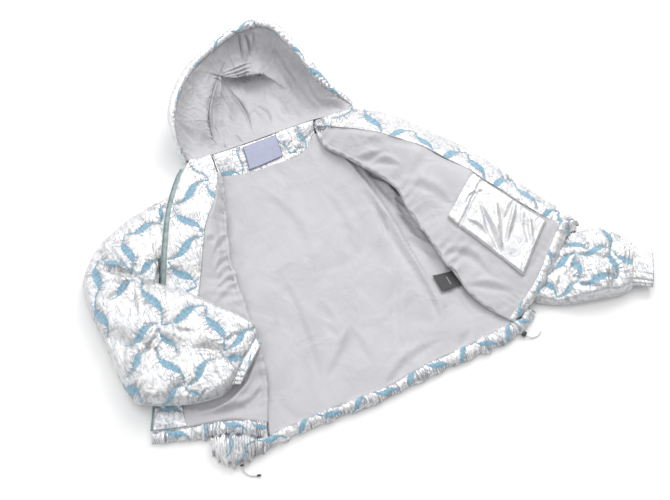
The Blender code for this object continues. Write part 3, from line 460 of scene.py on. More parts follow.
def on_panel(grid, along, across):
    """Points on a panel's own triangles at shares along and across it."""
    rows, columns = grid.shape[0] - 1, grid.shape[1] - 1
    u, v = np.clip(along, 0, 1) * rows, np.clip(across, 0, 1) * columns
    i, j = np.minimum(u.astype(int), rows - 1), np.minimum(v.astype(int), columns - 1)
    f, g = (u - i)[..., None], (v - j)[..., None]
    a, b, c, d = grid[i, j], grid[i, j + 1], grid[i + 1, j], grid[i + 1, j + 1]
    return np.where(g > f, a + g * (b - a) + f * (d - b), a + f * (c - a) + g * (d - c))


def seated(panel, corners, rows, columns, gap):
    """A grid between four corners of a panel, raised until it clears the panel everywhere."""
    first, second, third, fourth = (np.array(c, float) for c in corners)
    down, over = np.linspace(0, 1, rows)[:, None, None], np.linspace(0, 1, columns)[None, :, None]
    places = (first * (1 - over) + second * over) * (1 - down) + (fourth * (1 - over) + third * over) * down
    grid = on_panel(panel, places[:, :, 0], places[:, :, 1])
    f = np.linspace(0, 1, 7)
    lift = np.zeros((rows, columns))
    for r in range(rows - 1):
        for c in range(columns - 1):
            u, v = (part.ravel() for part in np.meshgrid(f, f, indexing="ij"))
            own = on_panel(grid[r : r + 2, c : c + 2], u, v)
            spots = on_panel(places[r : r + 2, c : c + 2], u, v)
            need = (on_panel(panel, spots[:, 0], spots[:, 1]) - own)[:, 2].max()
            block = lift[r : r + 2, c : c + 2]
            np.maximum(block, need, out=block)
    return raised(grid, lift + gap)


# ---------------------------------------------------------------- panels
BACK_COLUMNS = 14
BACK_ROWS = 17


def back(pile):
    """The back: padded shell, lining, neck facing and neck label."""
    across = np.linspace(0, 1, BACK_COLUMNS)
    neck_share = NECK_ROWS / (len(BACK) - 1)
    gap_share = SEAM / 0.6 / 2
    neck = np.linspace(0, neck_share - gap_share, 4)
    rest = np.linspace(neck_share + gap_share, 1, BACK_ROWS - 4)
    top = surface(BACK, np.concatenate([neck, rest]), across)
    shell_top = raised(top, -CLOTH - SEAM)
    floor = shell_top.copy()
    floor[:, :, 2] = 0.0
    wall("back_shell", shell_top, floor)
    wall("neck_facing", top[:4], raised(top[:4], -CLOTH))
    wall("back_lining", top[4:], raised(top[4:], -CLOTH))
    pile.lay(top)
    label = seated(top[:4], LABEL_NECK, 4, 5, LABEL_GAP)
    wall("label_neck", raised(label, LABEL_THICK), label)
    label = seated(top[4:], LABEL_CARE, 4, 4, LABEL_GAP)
    wall("label_care", raised(label, 3 * LABEL_THICK), label)
    pile.lay(raised(label, 3 * LABEL_THICK))
    return top[-1]


def front(name, sections, facing_first, facing_share, rows, columns, start, pile, thick):
    """A padded front shell with its facing and its lining on it. Shares run across the sections."""
    gap = 0.0015
    facing_columns, lining_columns = columns
    if facing_first:
        facing_at = np.linspace(0, facing_share - gap, facing_columns)
        lining_at = np.linspace(facing_share + gap, 1, lining_columns)
        across = np.concatenate([facing_at, lining_at])
    else:
        lining_at = np.linspace(0, facing_share - gap, lining_columns)
        facing_at = np.linspace(facing_share + gap, 1, facing_columns)
        across = np.concatenate([lining_at, facing_at])
    along = np.linspace(0, 1, rows)
    top = surface(sections, along, across)
    shell_top = raised(top, -CLOTH - SEAM)
    level = pile.under(shell_top)
    lower = underside(shell_top, level, thick)
    wall(name + "_shell", shell_top, lower)
    split = facing_columns if facing_first else lining_columns
    parts = (slice(0, split), slice(split, len(across)))
    facing_part, lining_part = parts if facing_first else parts[::-1]
    facing = top[:, facing_part]
    u, v = cloth_metres(facing)
    puffed = raised(facing, PUFF * 0.6 * quilting(u, v))
    wall(name + "_facing", puffed, raised(facing, -CLOTH))
    lining = top[start:, lining_part]
    wall(name + "_lining", lining, raised(lining, -CLOTH))
    pile.lay(puffed)
    pile.lay(top)
    return top, lining


def front_right(pile):
    """The right front, spread over its sleeve, and its zip tape."""
    top, _ = front("front_right", RIGHT_FRONT, True, 1 / 3, 22, (5, 6), 2, pile, PADDING + 0.002)
    pile.lay(zip_tape("zip_tape_right", top[1:, 0], top[1:, 1], -0.001, 0.0))


def front_left(pile):
    """The left front, folded back over its sleeve, with its zip tape and pocket."""
    rows = 25
    top, lining = front("front_left", LEFT_FRONT, False, 2 / 3, rows, (4, 7), 1, pile, PADDING + 0.002)
    first = int(2.4 / (len(LEFT_FRONT) - 1) * rows)
    zip_tape("zip_tape_left", top[first:, -1], top[first:, -2], -0.006, 0.6)
    pocket(lining)


def zip_tape(name, edge, inside, lift, droop):
    """A flat tape beside a front's edge, running out from it and dropping by a share of its width."""
    out = edge - inside
    out[:, 2] = 0.0
    out /= np.linalg.norm(out, axis=1, keepdims=True)
    start = edge + out * SEAM * 2
    start[:, 2] += lift
    end = start + out * TAPE_WIDTH * (1 - 0.4 * droop)
    end[:, 2] -= TAPE_WIDTH * droop
    upper = np.stack([start, (start + end) / 2, end], axis=1)
    lower = upper.copy()
    lower[:, :, 2] -= TAPE_THICK
    wall(name, upper, lower)
    return upper


def pocket(lining):
    """The inner patch pocket on the left front's lining, and the hem of its mouth."""
    under = seated(lining, POCKET, 8, 7, POCKET_GAP)
    top = raised(under, CLOTH)
    wall("pocket_patch", top, under)
    corners = ((0.0, 0.0), (0.0, 1.0), (POCKET_BAND_SHARE, 1.0), (POCKET_BAND_SHARE, 0.0))
    band = seated(top, corners, 2, 7, SEAM)
    wall("pocket_band", raised(band, CLOTH), band)


# ---------------------------------------------------------------- sleeves
def roundness(shares, power):
    """The height of a pressed tube's upper face across it, 0 at its edges and 1 in the middle."""
    return (1 - np.abs(2 * shares - 1) ** power) ** (1 / power)


def crease_depth(grid):
    """How far the forearm's long crease sinks each point."""
    line = through(CREASE, np.linspace(0, 1, 25))
    to_line = grid[:, :, None, :2] - line[None, None]
    away = np.linalg.norm(to_line, axis=3).min(axis=2)
    return CREASE_DEPTH * np.exp(-((away / CREASE_WIDTH) ** 2))


def sleeve_grid(sections, along, across):
    """Plan places and crown height over a sleeve's sections."""
    table = np.asarray(sections, float)
    rows = through(table, along)
    outer, inner = rows[:, None, 0:2], rows[:, None, 2:4]
    plan = outer + (inner - outer) * across[None, :, None]
    crown = np.repeat(rows[:, 4:5], len(across), axis=1)
    return plan, crown


def sleeve_form(sections, along, across, base, puff_from):
    """Upper and lower grids of a pressed, quilted sleeve that lies on base."""
    plan, crown = sleeve_grid(sections, along, across)
    fold = base + 0.30 * (crown - base)
    swell = roundness(across, 2.6)[None, :]
    top = np.concatenate([plan, (fold + 0.004 + (crown - fold - 0.004) * swell)[:, :, None]], axis=2)
    low = np.concatenate([plan, (fold - 0.002 - (fold - 0.002 - base) * swell**0.4)[:, :, None]], axis=2)
    u, v = cloth_metres(top)
    fullness = np.clip((along - puff_from) / 0.08, 0, 1)[:, None]
    top[:, :, 2] += PUFF * fullness * swell * (quilting(u, v) - 0.45)
    return top, low


def sleeve_right_under(pile):
    """Lay the part of the right sleeve that the front covers."""
    along = np.linspace(0, 3 / (len(SLEEVE_RIGHT) - 1), 8)
    across = edge_steps(10, 0.05)
    _, crown = sleeve_grid(SLEEVE_RIGHT, along, across)
    top, _ = sleeve_form(SLEEVE_RIGHT, along, across, np.zeros(crown.shape), 2.0)
    pile.lay(raised(top, 0.0005))


def sleeve_right(pile):
    """The right sleeve: upper arm under the front, elbow on the floor, forearm on the front."""
    across = edge_steps(12, 0.04)
    along = np.linspace(0, 1, 33)
    plan, crown = sleeve_grid(SLEEVE_RIGHT, along, across)
    flat = np.concatenate([plan, crown[:, :, None]], axis=2)
    folded = along > (ELBOW_ROW - 3.5) / (len(SLEEVE_RIGHT) - 1)
    base = np.where(folded[:, None], pile.under(flat), 0.0)
    base = np.where(base > 0, base + SEAM, 0.0)
    top, low = sleeve_form(SLEEVE_RIGHT, along, across, base, 0.22)
    swell = roundness(across, 2.6)[None, :]
    top[:, :, 2] -= crease_depth(top) * folded[:, None] * swell
    wall("sleeve_right", top, low)
    cuff("cuff_right", top[-1], low[-1])


def sleeve_left(pile):
    """The left sleeve, under its front and out past the hem."""
    across = edge_steps(12, 0.04)
    along = np.linspace(0, 1, 24)
    _, crown = sleeve_grid(SLEEVE_LEFT, along, across)
    top, low = sleeve_form(SLEEVE_LEFT, along, across, np.zeros(crown.shape), 0.74)
    wall("sleeve_left", top, low)
    pile.lay(top)
    cuff("cuff_left", top[-1], low[-1])


# Each cuff's way out of its sleeve, its length and its gathers.
CUFFS = {"cuff_right": ((0.72, -0.69, 0.0), 0.016, 9), "cuff_left": ((0.80, -0.60, 0.0), 0.045, 10)}


def cuff(name, top_edge, low_edge):
    """A gathered cuff that carries on from a sleeve's last section, with a slit for its mouth."""
    way, length, gathers = CUFFS[name]
    out = np.array(way)
    ends = top_edge[-1] - top_edge[0]
    centre = (top_edge.mean(axis=0) + low_edge.mean(axis=0)) / 2
    sides = 4 * gathers
    turn = np.linspace(0, 2 * math.pi, sides, endpoint=False)
    half = np.linalg.norm(ends) * 0.46
    thick = (top_edge[:, 2].max() - low_edge[:, 2].min()) * 0.5
    middle_z = (top_edge[:, 2].max() + low_edge[:, 2].min()) / 2
    along_edge = ends / np.linalg.norm(ends)
    along_edge[2] = 0.0
    rings = []
    for step, (far, width, height) in enumerate(((0.0, 0.97, 0.80), (0.35, 0.90, 0.72), (1.0, 0.84, 0.62))):
        ripple = 1 + 0.05 * np.cos(gathers * turn + step * math.pi)
        ring = np.zeros((sides, 3))
        spot = centre + out * (SEAM * 1.3 + length * far)
        ring[:, :2] = spot[:2] + np.outer(np.cos(turn) * half * width, along_edge[:2])
        ring[:, 2] = middle_z + np.sin(turn) * thick * height * ripple
        rings.append(ring)
    loft(name, rings)


# ---------------------------------------------------------------- hood
def hood_points(along, across):
    """The hood's inner face: steep from the rim, level along the floor, up to the neck seam."""
    rows = through(HOOD, along)
    rim, neck = rows[:, None, 0:3], rows[:, None, 3:6]
    level, steep = rows[:, None, 6], rows[:, None, 7]
    s = across[None, :]
    grid = rim + (neck - rim) * s[:, :, None]
    wall_part = (rim[:, :, 2] - RIM_HEIGHT - level) * (1 - s) ** steep
    seam_part = (neck[:, :, 2] - level) * s**4
    grid[:, :, 2] = level + wall_part + seam_part
    return grid


def hood_outward(grid, along, across):
    """Which way the hood's cloth is thick: square to the wall, and straight down at its seam and ends."""
    ends = np.clip(1.3 - np.minimum(along, 1 - along) * (len(HOOD) - 1) / 1.6, 0, 1)
    share = np.maximum(ends[:, None], (np.clip(across, 0, 1) ** 3)[None, :])[:, :, None]
    out = -normals(grid) * (1 - share) + np.array([0.0, 0.0, -1.0]) * share
    return out / np.linalg.norm(out, axis=2, keepdims=True)


HOOD_ACROSS = np.array([0, 0.04, 0.09, 0.15, 0.23, 0.33, 0.46, 0.60, 0.75, 0.89, 1.0])


def hood():
    """Two linings and two padded shells that meet at the centre seam, and the rim's casing."""
    last = len(HOOD) - 1
    halves = (("right", 0.0, HOOD_SEAM_ROW - HOOD_GAP, 12), ("left", HOOD_SEAM_ROW + HOOD_GAP, last, 17))
    edges, outs, ups = [], [], []
    for side, first, end, rows in halves:
        along = np.linspace(first, end, rows) / last
        inner = hood_points(along, HOOD_ACROSS)
        out = hood_outward(inner, along, HOOD_ACROSS)
        lining_out = inner + out * CLOTH
        shell_in = inner + out * (CLOTH + SEAM)
        shell_out = inner + out * (CLOTH + SEAM + HOOD_PADDING)
        shell_out[:, :, 2] = np.maximum(shell_out[:, :, 2], 0.0)
        wall("hood_lining_" + side, inner, lining_out)
        wall("hood_shell_" + side, shell_in, shell_out)
        up = inner[:, 0] - inner[:, 1]
        up /= np.linalg.norm(up, axis=1, keepdims=True)
        edges += list(inner[:, 0])
        outs += list(out[:, 0])
        ups += list(up)
    hood_rim(np.array(edges), np.array(outs), np.array(ups))


RIM_RING = (  # out from the inner face, up from the wall's edge
    (-0.001, 0.0012), (-0.002, 0.008), (0.002, 0.014), (0.009, 0.0155),
    (0.015, 0.013), (0.0175, 0.007), (0.0150, 0.0032),
)


def hood_rim(edge, out, up):
    """The gathered casing on the hood's edge, one gather between every two rows of the hood."""
    rings = []
    for i in range(len(edge)):
        base = [edge[i] + out[i] * a + up[i] * b for a, b in RIM_RING]
        if i:
            half = [(p + q) / 2 for p, q in zip(rings[-1], base)]
            middle = np.mean(half, axis=0)
            puffed = [middle + (p - middle) * 1.10 for p in half]
            rings.append([half[0]] + puffed[1:-1] + [half[-1]])
        rings.append(base)
    loft("hood_rim", rings)


# ---------------------------------------------------------------- hems
def hem_rings(table, gathers, steps_each, deep_from, depth, deep, edge=None):
    """Rings of a gathered casing that lies on the floor, along a panel's edge where it has one."""
    table = np.asarray(table, float)
    count = gathers * steps_each + 1
    along = np.linspace(0, 1, count)
    rows = through(table, along)
    rings = []
    for k in range(count):
        inner = np.array([rows[k, 0], rows[k, 1], 0.0])
        outer = np.array([rows[k, 2], rows[k, 3], 0.0])
        if edge is not None and edge[0, 0] < inner[0] < edge[-1, 0]:
            inner[1] = np.interp(inner[0], edge[:, 0], edge[:, 1]) - 3 * SEAM
        crown = rows[k, 4]
        wave = math.cos(2 * math.pi * k / steps_each)
        size = deep if along[k] * (len(table) - 1) > deep_from else depth
        reach = outer - inner
        profile = (
            (0.0, 0.001),
            (0.0, 0.80),
            (0.30, 1.0 + size * wave),
            (0.72, 0.88 + size * wave),
            (1.0 + size * wave, 0.45),
            (0.86 + size * wave, 0.0),
            (0.25, 0.0),
        )
        rings.append([inner + reach * a + np.array([0, 0, crown * max(b, 0)]) for a, b in profile])
    return rings


def hems(pile, back_edge):
    """The gathered hems of the back and of the right front."""
    rings = hem_rings(HEM_BACK, HEM_BACK_GATHERS, 3, HEM_BUNCH_ROW, 0.08, 0.09, back_edge)
    loft("hem_back", rings)
    pile.lay(np.array(rings))
    rings = hem_rings(HEM_RIGHT, HEM_RIGHT_GATHERS, 3, len(HEM_RIGHT), 0.05, 0.05)
    loft("hem_right", rings)


def hem_left(pile):
    """The left front's hem, beyond the front's last row, on what lies under it."""
    rows = through(HEM_LEFT, np.linspace(0, 1, HEM_LEFT_GATHERS * 2 + 1))
    edge = surface(LEFT_FRONT, [1.0], rows[:, 0])[0]
    run = np.gradient(edge, axis=0)
    out = np.stack([run[:, 1], -run[:, 0], np.zeros(len(run))], axis=1)
    out /= np.linalg.norm(out, axis=1, keepdims=True)
    out = through(out, np.linspace(0, 1, len(out)))
    wave = np.cos(math.pi * np.arange(len(rows)))[:, None]
    share = np.array([0.0, 0.3, 0.7, 1.0])[None, :]
    ripple = np.array([0.0, 1.0, 1.0, 0.3])[None, :]
    reach = SEAM * 4 + rows[:, None, 1] * share * (1 + 0.06 * wave)
    upper = edge[:, None, :] + out[:, None, :] * reach[:, :, None]
    upper[:, :, 2] += 0.0014 * wave * ripple + 0.003 * np.sin(math.pi * share) - rows[:, None, 2] * share
    level = pile.under(upper)
    lower = underside(upper, level, 0.011)
    wall("hem_left", upper, lower)


# Routes of the hem's cord ends, from the eyelet outwards.
CORD_RIGHT = ((-0.3618, -0.3712, 0.0040), (-0.3625, -0.3790, 0.0019), (-0.3590, -0.3880, 0.0015),
              (-0.3520, -0.3950, 0.0015), (-0.3430, -0.3990, 0.0015))
CORD_LEFT = ((0.2755, -0.3479, 0.0060), (0.2790, -0.3530, 0.0042), (0.2860, -0.3572, 0.0022),
             (0.2950, -0.3580, 0.0015), (0.3030, -0.3555, 0.0015), (0.3090, -0.3510, 0.0015))


# ---------------------------------------------------------------- materials
class Paint:
    """One material, with short ways to add its nodes."""

    def __init__(self, name, colour, metallic, roughness, **more):
        self.material = bpy.data.materials.new(name)
        self.material.use_nodes = True
        self.tree = self.material.node_tree
        self.shader = self.tree.nodes["Principled BSDF"]
        base = {"Base Color": (*colour, 1.0), "Metallic": metallic, "Roughness": roughness}
        named = {"sheen": "Sheen Weight", "sheen_rough": "Sheen Roughness", "gloss": "Specular IOR Level"}
        self.fill(self.shader, {**base, **{named[key]: value for key, value in more.items()}})
        self.place = self.tree.nodes.new("ShaderNodeTexCoord").outputs["Object"]

    def fill(self, made, inputs):
        """Link or set inputs of a node."""
        for key, value in inputs.items():
            if isinstance(value, bpy.types.NodeSocket):
                self.tree.links.new(value, made.inputs[key])
            else:
                made.inputs[key].default_value = value
        return made

    def node(self, kind, inputs, **settings):
        """A new node with its settings and its inputs."""
        made = self.tree.nodes.new("ShaderNode" + kind)
        for key, value in settings.items():
            setattr(made, key, value)
        return self.fill(made, inputs)

    def math(self, operation, a, b=0.0):
        """One or two values put through an operation."""
        return self.node("Math", {0: a, 1: b}, operation=operation).outputs[0]

    def times(self, a, b):
        """One value times another."""
        return self.math("MULTIPLY", a, b)

    def less(self, a, b):
        """One value less another."""
        return self.math("SUBTRACT", a, b)

    def off_middle(self, value):
        """How far a value is from a half."""
        return self.math("ABSOLUTE", self.less(value, 0.5))

    def noise(self, scale, detail=3.0, warp=0.0, place=None, rough=0.5):
        """A cloudy field, about 0 to 1."""
        inputs = {"Vector": place or self.place, "Scale": scale, "Detail": detail, "Distortion": warp}
        return self.node("TexNoise", {**inputs, "Roughness": rough}).outputs[0]

    def ranged(self, value, low, high, to_low=0.0, to_high=1.0):
        """A value eased from one range into another."""
        inputs = {"Value": value, "From Min": low, "From Max": high, "To Min": to_low, "To Max": to_high}
        return self.node("MapRange", inputs, interpolation_type="SMOOTHSTEP").outputs[0]

    def mixed(self, share, a, b):
        """A colour that goes from a to b by a share."""
        a, b = (tone if isinstance(tone, bpy.types.NodeSocket) else (*tone, 1.0) for tone in (a, b))
        return self.node("Mix", {0: share, 6: a, 7: b}, data_type="RGBA").outputs[2]

    def stretched(self, x, y, z):
        """Places drawn out along the axes."""
        return self.node("Mapping", {"Vector": self.place, "Scale": (x, y, z)}).outputs[0]

    def bumped(self, height, distance, strength=1.0, under=None):
        """A normal bent by heights, over another one where it is given."""
        inputs = {"Height": height, "Distance": distance, "Strength": strength}
        return self.node("Bump", inputs if under is None else {**inputs, "Normal": under}).outputs[0]

    def mapped(self, layer):
        """The two parts of a UV map, as outputs 0 and 1."""
        return self.node("SeparateXYZ", {0: self.node("UVMap", {}, uv_map=layer).outputs[0]}).outputs

    def use(self, **sockets):
        """Link the finished values to the shader."""
        names = {"colour": "Base Color", "rough": "Roughness", "normal": "Normal"}
        self.fill(self.shader, {names[key]: value for key, value in sockets.items()})
        return self.material


def wrinkles(paint, scale, turn, thin, long=0.2):
    """Thin wandering lines, 1 on the line and 0 away from it, drawn out along one direction."""
    inputs = {"Vector": paint.place, "Rotation": (0.35, 0.2, turn), "Scale": (1.0, long, 1.0)}
    field = paint.noise(scale, 2.5, place=paint.node("Mapping", inputs).outputs[0], warp=0.25)
    return paint.ranged(paint.off_middle(field), 0.0, thin, 1.0, 0.0)


# Each set of wrinkles in the foil: its scale, its turn and the width of its lines. The last one is fine.
FOIL_LINES = ((62.0, 0.5, 0.040), (72.0, 1.75, 0.042), (66.0, 2.7, 0.038), (190.0, 1.1, 0.05))
LINE_GAIN = 1.15  # how much wider they are drawn
RIDGE_PAINTED_SHADE, FINE_PAINTED_SHADE, FAN_PAINTED_SHADE = 0.34, 0.2, 0.76  # how far the wrinkles, the fine ones and the fans are darkened with painted shade
# Greys painted along the wrinkles, the fine ones and the fans, as their shade.
RIDGE_SHADE_GREY, FINE_SHADE_GREY, FAN_SHADE_GREY = (0.36, 0.37, 0.40), (0.45, 0.46, 0.49), (0.32, 0.33, 0.36)
PALE_FOIL = (0.80, 0.815, 0.835)
WARM_FOIL = (0.875, 0.865, 0.86)


def foil(name, colour=(0.88, 0.885, 0.90), crumple_and_shade=1.0, metal=0.62, painted_light_scale=1.0):
    """A crinkled silver film on cloth: pale facets between fine wrinkles, which are painted grey as their
    shade.
    """
    paint = Paint(name, colour, metal, 0.34)
    lines = [wrinkles(paint, scale, turn, thin * LINE_GAIN) for scale, turn, thin in FOIL_LINES]
    patch = paint.ranged(paint.noise(17.0, 1.5), 0.42, 0.58)
    other = paint.ranged(paint.noise(23.0, 1.5, place=paint.stretched(1.2, 0.9, 1.0)), 0.42, 0.58)
    crossing = paint.times(lines[0], patch)
    crossing = paint.math("MAXIMUM", crossing, paint.times(lines[1], paint.less(1.0, patch)))
    ridge = paint.math("MAXIMUM", crossing, paint.times(lines[2], other))
    fine = paint.times(lines[3], paint.less(1.0, other))
    run, strong = paint.mapped("fans")[:2]
    bend = paint.times(paint.less(paint.noise(38.0, 2.0), 0.5), 0.012)
    strand = paint.node("CombineXYZ", {0: paint.math("ADD", run, bend), 1: 0.3}).outputs[0]
    field = paint.noise(150.0, 1.5, place=strand)
    strands = paint.ranged(paint.off_middle(field), 0.0, 0.055, 1.0, 0.0)
    fan = paint.times(strands, paint.times(strong, paint.ranged(paint.noise(30.0, 1.0), 0.38, 0.55)))
    # The last argument scales the foil's tones: above 1 it paints a lighter copy as light, below 1 a darker
    # copy as shade.
    pale, warm = (tuple(c * painted_light_scale for c in tone) for tone in (PALE_FOIL, WARM_FOIL))
    tone = paint.mixed(paint.ranged(paint.noise(19.0, 2.0), 0.35, 0.65), pale, warm)
    # Painted shade: the colour is darkened to grey along the wrinkles, the fine lines and the fans, which are
    # bumps as well. The crumple argument scales both the bumps and this painted shade.
    tone = paint.mixed(paint.times(ridge, RIDGE_PAINTED_SHADE * crumple_and_shade), tone, RIDGE_SHADE_GREY)
    tone = paint.mixed(paint.times(fine, FINE_PAINTED_SHADE * crumple_and_shade), tone, FINE_SHADE_GREY)
    tone = paint.mixed(paint.times(fan, FAN_PAINTED_SHADE * crumple_and_shade), tone, FAN_SHADE_GREY)
    bump = paint.bumped(paint.times(field, strong), 0.0026 * crumple_and_shade)
    bump = paint.bumped(paint.noise(34.0, 2.0, warp=0.8), 0.0016 * crumple_and_shade, 1.0, bump)
    bump = paint.bumped(ridge, -0.0008 * crumple_and_shade, 1.0, bump)
    bump = paint.bumped(fine, -0.0003, 1.0, bump)
    return paint.use(colour=tone, rough=paint.ranged(paint.noise(60.0), 0.3, 0.7, 0.30, 0.48), normal=bump)


def lining_cloth():
    """A matt woven lining with soft rumples and faint creases, a little darker in the rumples' hollows as
    painted shade.
    """
    colour = (0.535, 0.532, 0.553)
    paint = Paint("lining_cloth", colour, 0.0, 0.55, sheen=0.12, sheen_rough=0.5, gloss=0.35)
    soft_rumple_and_shade = paint.noise(14.0, 3.0, 0.9)
    rumple = paint.noise(60.0, 4.0, 0.8)
    patch = paint.ranged(paint.noise(11.0, 1.0), 0.42, 0.60)
    lines = paint.times(wrinkles(paint, 17.0, 1.9, 0.10, 0.35), patch)
    more = paint.times(wrinkles(paint, 24.0, 0.7, 0.10, 0.35), paint.less(1.0, patch))
    warp = paint.noise(900.0, 1.0, place=paint.stretched(1.0, 0.25, 1.0))
    weft = paint.noise(900.0, 1.0, place=paint.stretched(0.25, 1.0, 1.0))
    low = tuple(c * 0.965 for c in colour)
    high = tuple(min(1.0, c * 1.03) for c in colour)
    # Painted shade: the colour follows the same soft field as the rumple bump, darker in its hollows and
    # lighter on its swells.
    tone = paint.mixed(paint.ranged(soft_rumple_and_shade, 0.35, 0.65), low, high)
    bump = paint.bumped(soft_rumple_and_shade, 0.007, 0.7)
    bump = paint.bumped(paint.math("ADD", lines, paint.times(more, 0.8)), 0.0011, 0.55, bump)
    bump = paint.bumped(rumple, 0.0006, 0.5, bump)
    bump = paint.bumped(paint.times(warp, weft), 0.00012, 0.6, bump)
    return paint.use(colour=tone, normal=bump, rough=paint.ranged(rumple, 0.3, 0.7, 0.5, 0.62))


STITCH = 0.0009  # from one embroidery thread to the next


def embroidery():
    """Satin stitches across each leaf, on the map's metres along and across the line, with painted shade in
    the grooves between the threads.
    """
    paint = Paint("embroidery_thread", (0.32, 0.58, 0.72), 0.0, 0.42, sheen=0.3, gloss=0.6)
    along, across = paint.mapped("cloth")[:2]
    run = paint.less(along, paint.times(paint.math("ABSOLUTE", across), 0.55))
    thread = paint.math("SINE", paint.times(run, 2 * math.pi / STITCH))
    tone = paint.mixed(paint.ranged(paint.noise(150.0), 0.3, 0.7), (0.25, 0.49, 0.66), (0.42, 0.65, 0.78))
    # Painted shade: the colour darkens where the stitch bump dips, in the grooves between the threads.
    groove_shade = paint.mixed(paint.ranged(thread, -1.0, 1.0, 0.35, 0.0), tone, (0.18, 0.40, 0.54))
    return paint.use(colour=groove_shade, normal=paint.bumped(thread, 0.00025, 0.8))


def tape_cloth():
    """A ribbed zip tape."""
    paint = Paint("zip_tape_cloth", (0.30, 0.38, 0.39), 0.0, 0.7)
    rib = paint.noise(700.0, 1.0, place=paint.stretched(1.0, 0.3, 1.0))
    tone = paint.mixed(paint.ranged(paint.noise(90.0, 2.0), 0.3, 0.7), (0.25, 0.34, 0.35), (0.38, 0.46, 0.46))
    return paint.use(colour=tone, normal=paint.bumped(rib, 0.0002, 0.8))


def label_cloth(name, colour, edge, seam=None):
    """A ribbed woven label, bare, with a stitched edge and perhaps one pale seam across its middle."""
    paint = Paint(name, colour, 0.0, 0.5, sheen=0.2)
    u, v = paint.mapped("cloth")[:2]
    sides = [paint.off_middle(share) for share in (u, v)]
    border = paint.ranged(paint.math("MAXIMUM", *sides), 0.475, 0.49)
    ribs = paint.math("SINE", paint.times(u, 260.0))
    tone = paint.mixed(paint.ranged(paint.noise(220.0), 0.3, 0.7), colour, tuple(c * 0.9 for c in colour))
    tone = paint.mixed(border, tone, edge)
    if seam is not None:
        line = paint.ranged(sides[1], 0.012, 0.022, 1.0, 0.0)
        tone = paint.mixed(paint.times(line, paint.ranged(sides[0], 0.24, 0.28, 1.0, 0.0)), tone, seam)
    return paint.use(colour=tone, normal=paint.bumped(ribs, 0.0001, 0.7))


def metal_plating():
    """Dark plated metal, rubbed pale in places."""
    paint = Paint("dark_plating", (0.13, 0.12, 0.11), 1.0, 0.32)
    rub = paint.noise(900.0, 4.0, rough=0.7)
    tone = paint.mixed(paint.ranged(rub, 0.45, 0.75), (0.10, 0.095, 0.09), (0.34, 0.33, 0.32))
    rough = paint.ranged(rub, 0.3, 0.7, 0.25, 0.45)
    return paint.use(colour=tone, rough=rough, normal=paint.bumped(rub, 0.0001))


def dark_plastic():
    """Dark moulded plastic with a fine grain."""
    paint = Paint("dark_moulding", (0.05, 0.05, 0.055), 0.0, 0.4)
    grain = paint.noise(1500.0, 3.0)
    tone = paint.mixed(paint.ranged(grain, 0.4, 0.7), (0.04, 0.04, 0.045), (0.09, 0.09, 0.095))
    return paint.use(colour=tone, normal=paint.bumped(grain, 0.0001, 0.6))


def braid():
    """A pale braided cord, with painted shade in the grooves between its strands."""
    paint = Paint("braided_cord", (0.70, 0.69, 0.66), 0.0, 0.75)
    strands = paint.noise(1100.0, 1.0, place=paint.stretched(1.0, 0.5, 1.0))
    # Painted shade: the colour follows the strands' bump, darker in the grooves between them.
    tone = paint.mixed(paint.ranged(strands, 0.3, 0.7), (0.55, 0.54, 0.52), (0.80, 0.79, 0.76))
    return paint.use(colour=tone, normal=paint.bumped(strands, 0.0003, 0.9))


# ---------------------------------------------------------------- fine forms
def refine(grid, rows, columns):
    """A finer grid on the smooth surface through a coarse one."""
    fine = through(grid, np.linspace(0, 1, rows))
    return np.swapaxes(through(np.swapaxes(fine, 0, 1), np.linspace(0, 1, columns)), 0, 1)


def waves(points, size, seed):
    """A smooth uneven field over the points, about -1 to 1, with swells about size metres across."""
    rng = np.random.default_rng(seed)
    total = np.zeros(points.shape[:-1])
    for _ in range(5):
        turn = rng.uniform(0, 2 * math.pi)
        rise = rng.uniform(-0.6, 0.6)
        direction = np.array([math.cos(turn), math.sin(turn), rise])
        pace = 2 * math.pi / size * rng.uniform(0.6, 1.4)
        total += np.sin(points @ direction * pace + rng.uniform(0, 6.28))
    return total / 3.2


def crumpled(points, size, seed):
    """Thin sharp ridges that wander over the points, 0 to 1."""
    sway = [waves(points, size * 1.7, seed + k) for k in (1, 2, 3)]
    bent = points + 0.35 * size * np.stack(sway, axis=-1)
    first = np.exp(-((waves(bent, size, seed + 5) / 0.16) ** 2))
    second = np.exp(-((waves(bent, size * 0.6, seed + 6) / 0.20) ** 2))
    return np.maximum(first, 0.6 * second)


SWING = 0.075  # how far a stitched line swings, as a share of its length
QUILT_SINK = 0.45  # how much of a puff's height the stitching lies under the mean


def s_line(edge, count):
    """Shares and points of an S-shaped stitched line between two crossings."""
    start, end = np.array(edge[:2]), np.array(edge[2:4])
    run = end - start
    side = np.array([run[1], -run[0]])
    t = np.linspace(0, 1, count)
    swing = SWING * np.sin(2 * math.pi * t)
    return t, start + run * t[:, None] + side * swing[:, None]


LINE_POINTS = 40  # on each stitched line
BLOCK = 4000  # points that are measured at a time


STITCH_REACH = 0.013  # how far from a stitched line the cloth is still rising
PUCKER_DEPTH = 0.0011
PUCKER_PITCH = 0.0085
PUCKER_REACH = 0.011
FAN_REACH = 0.030  # how far the fine wrinkles run out from the stitching


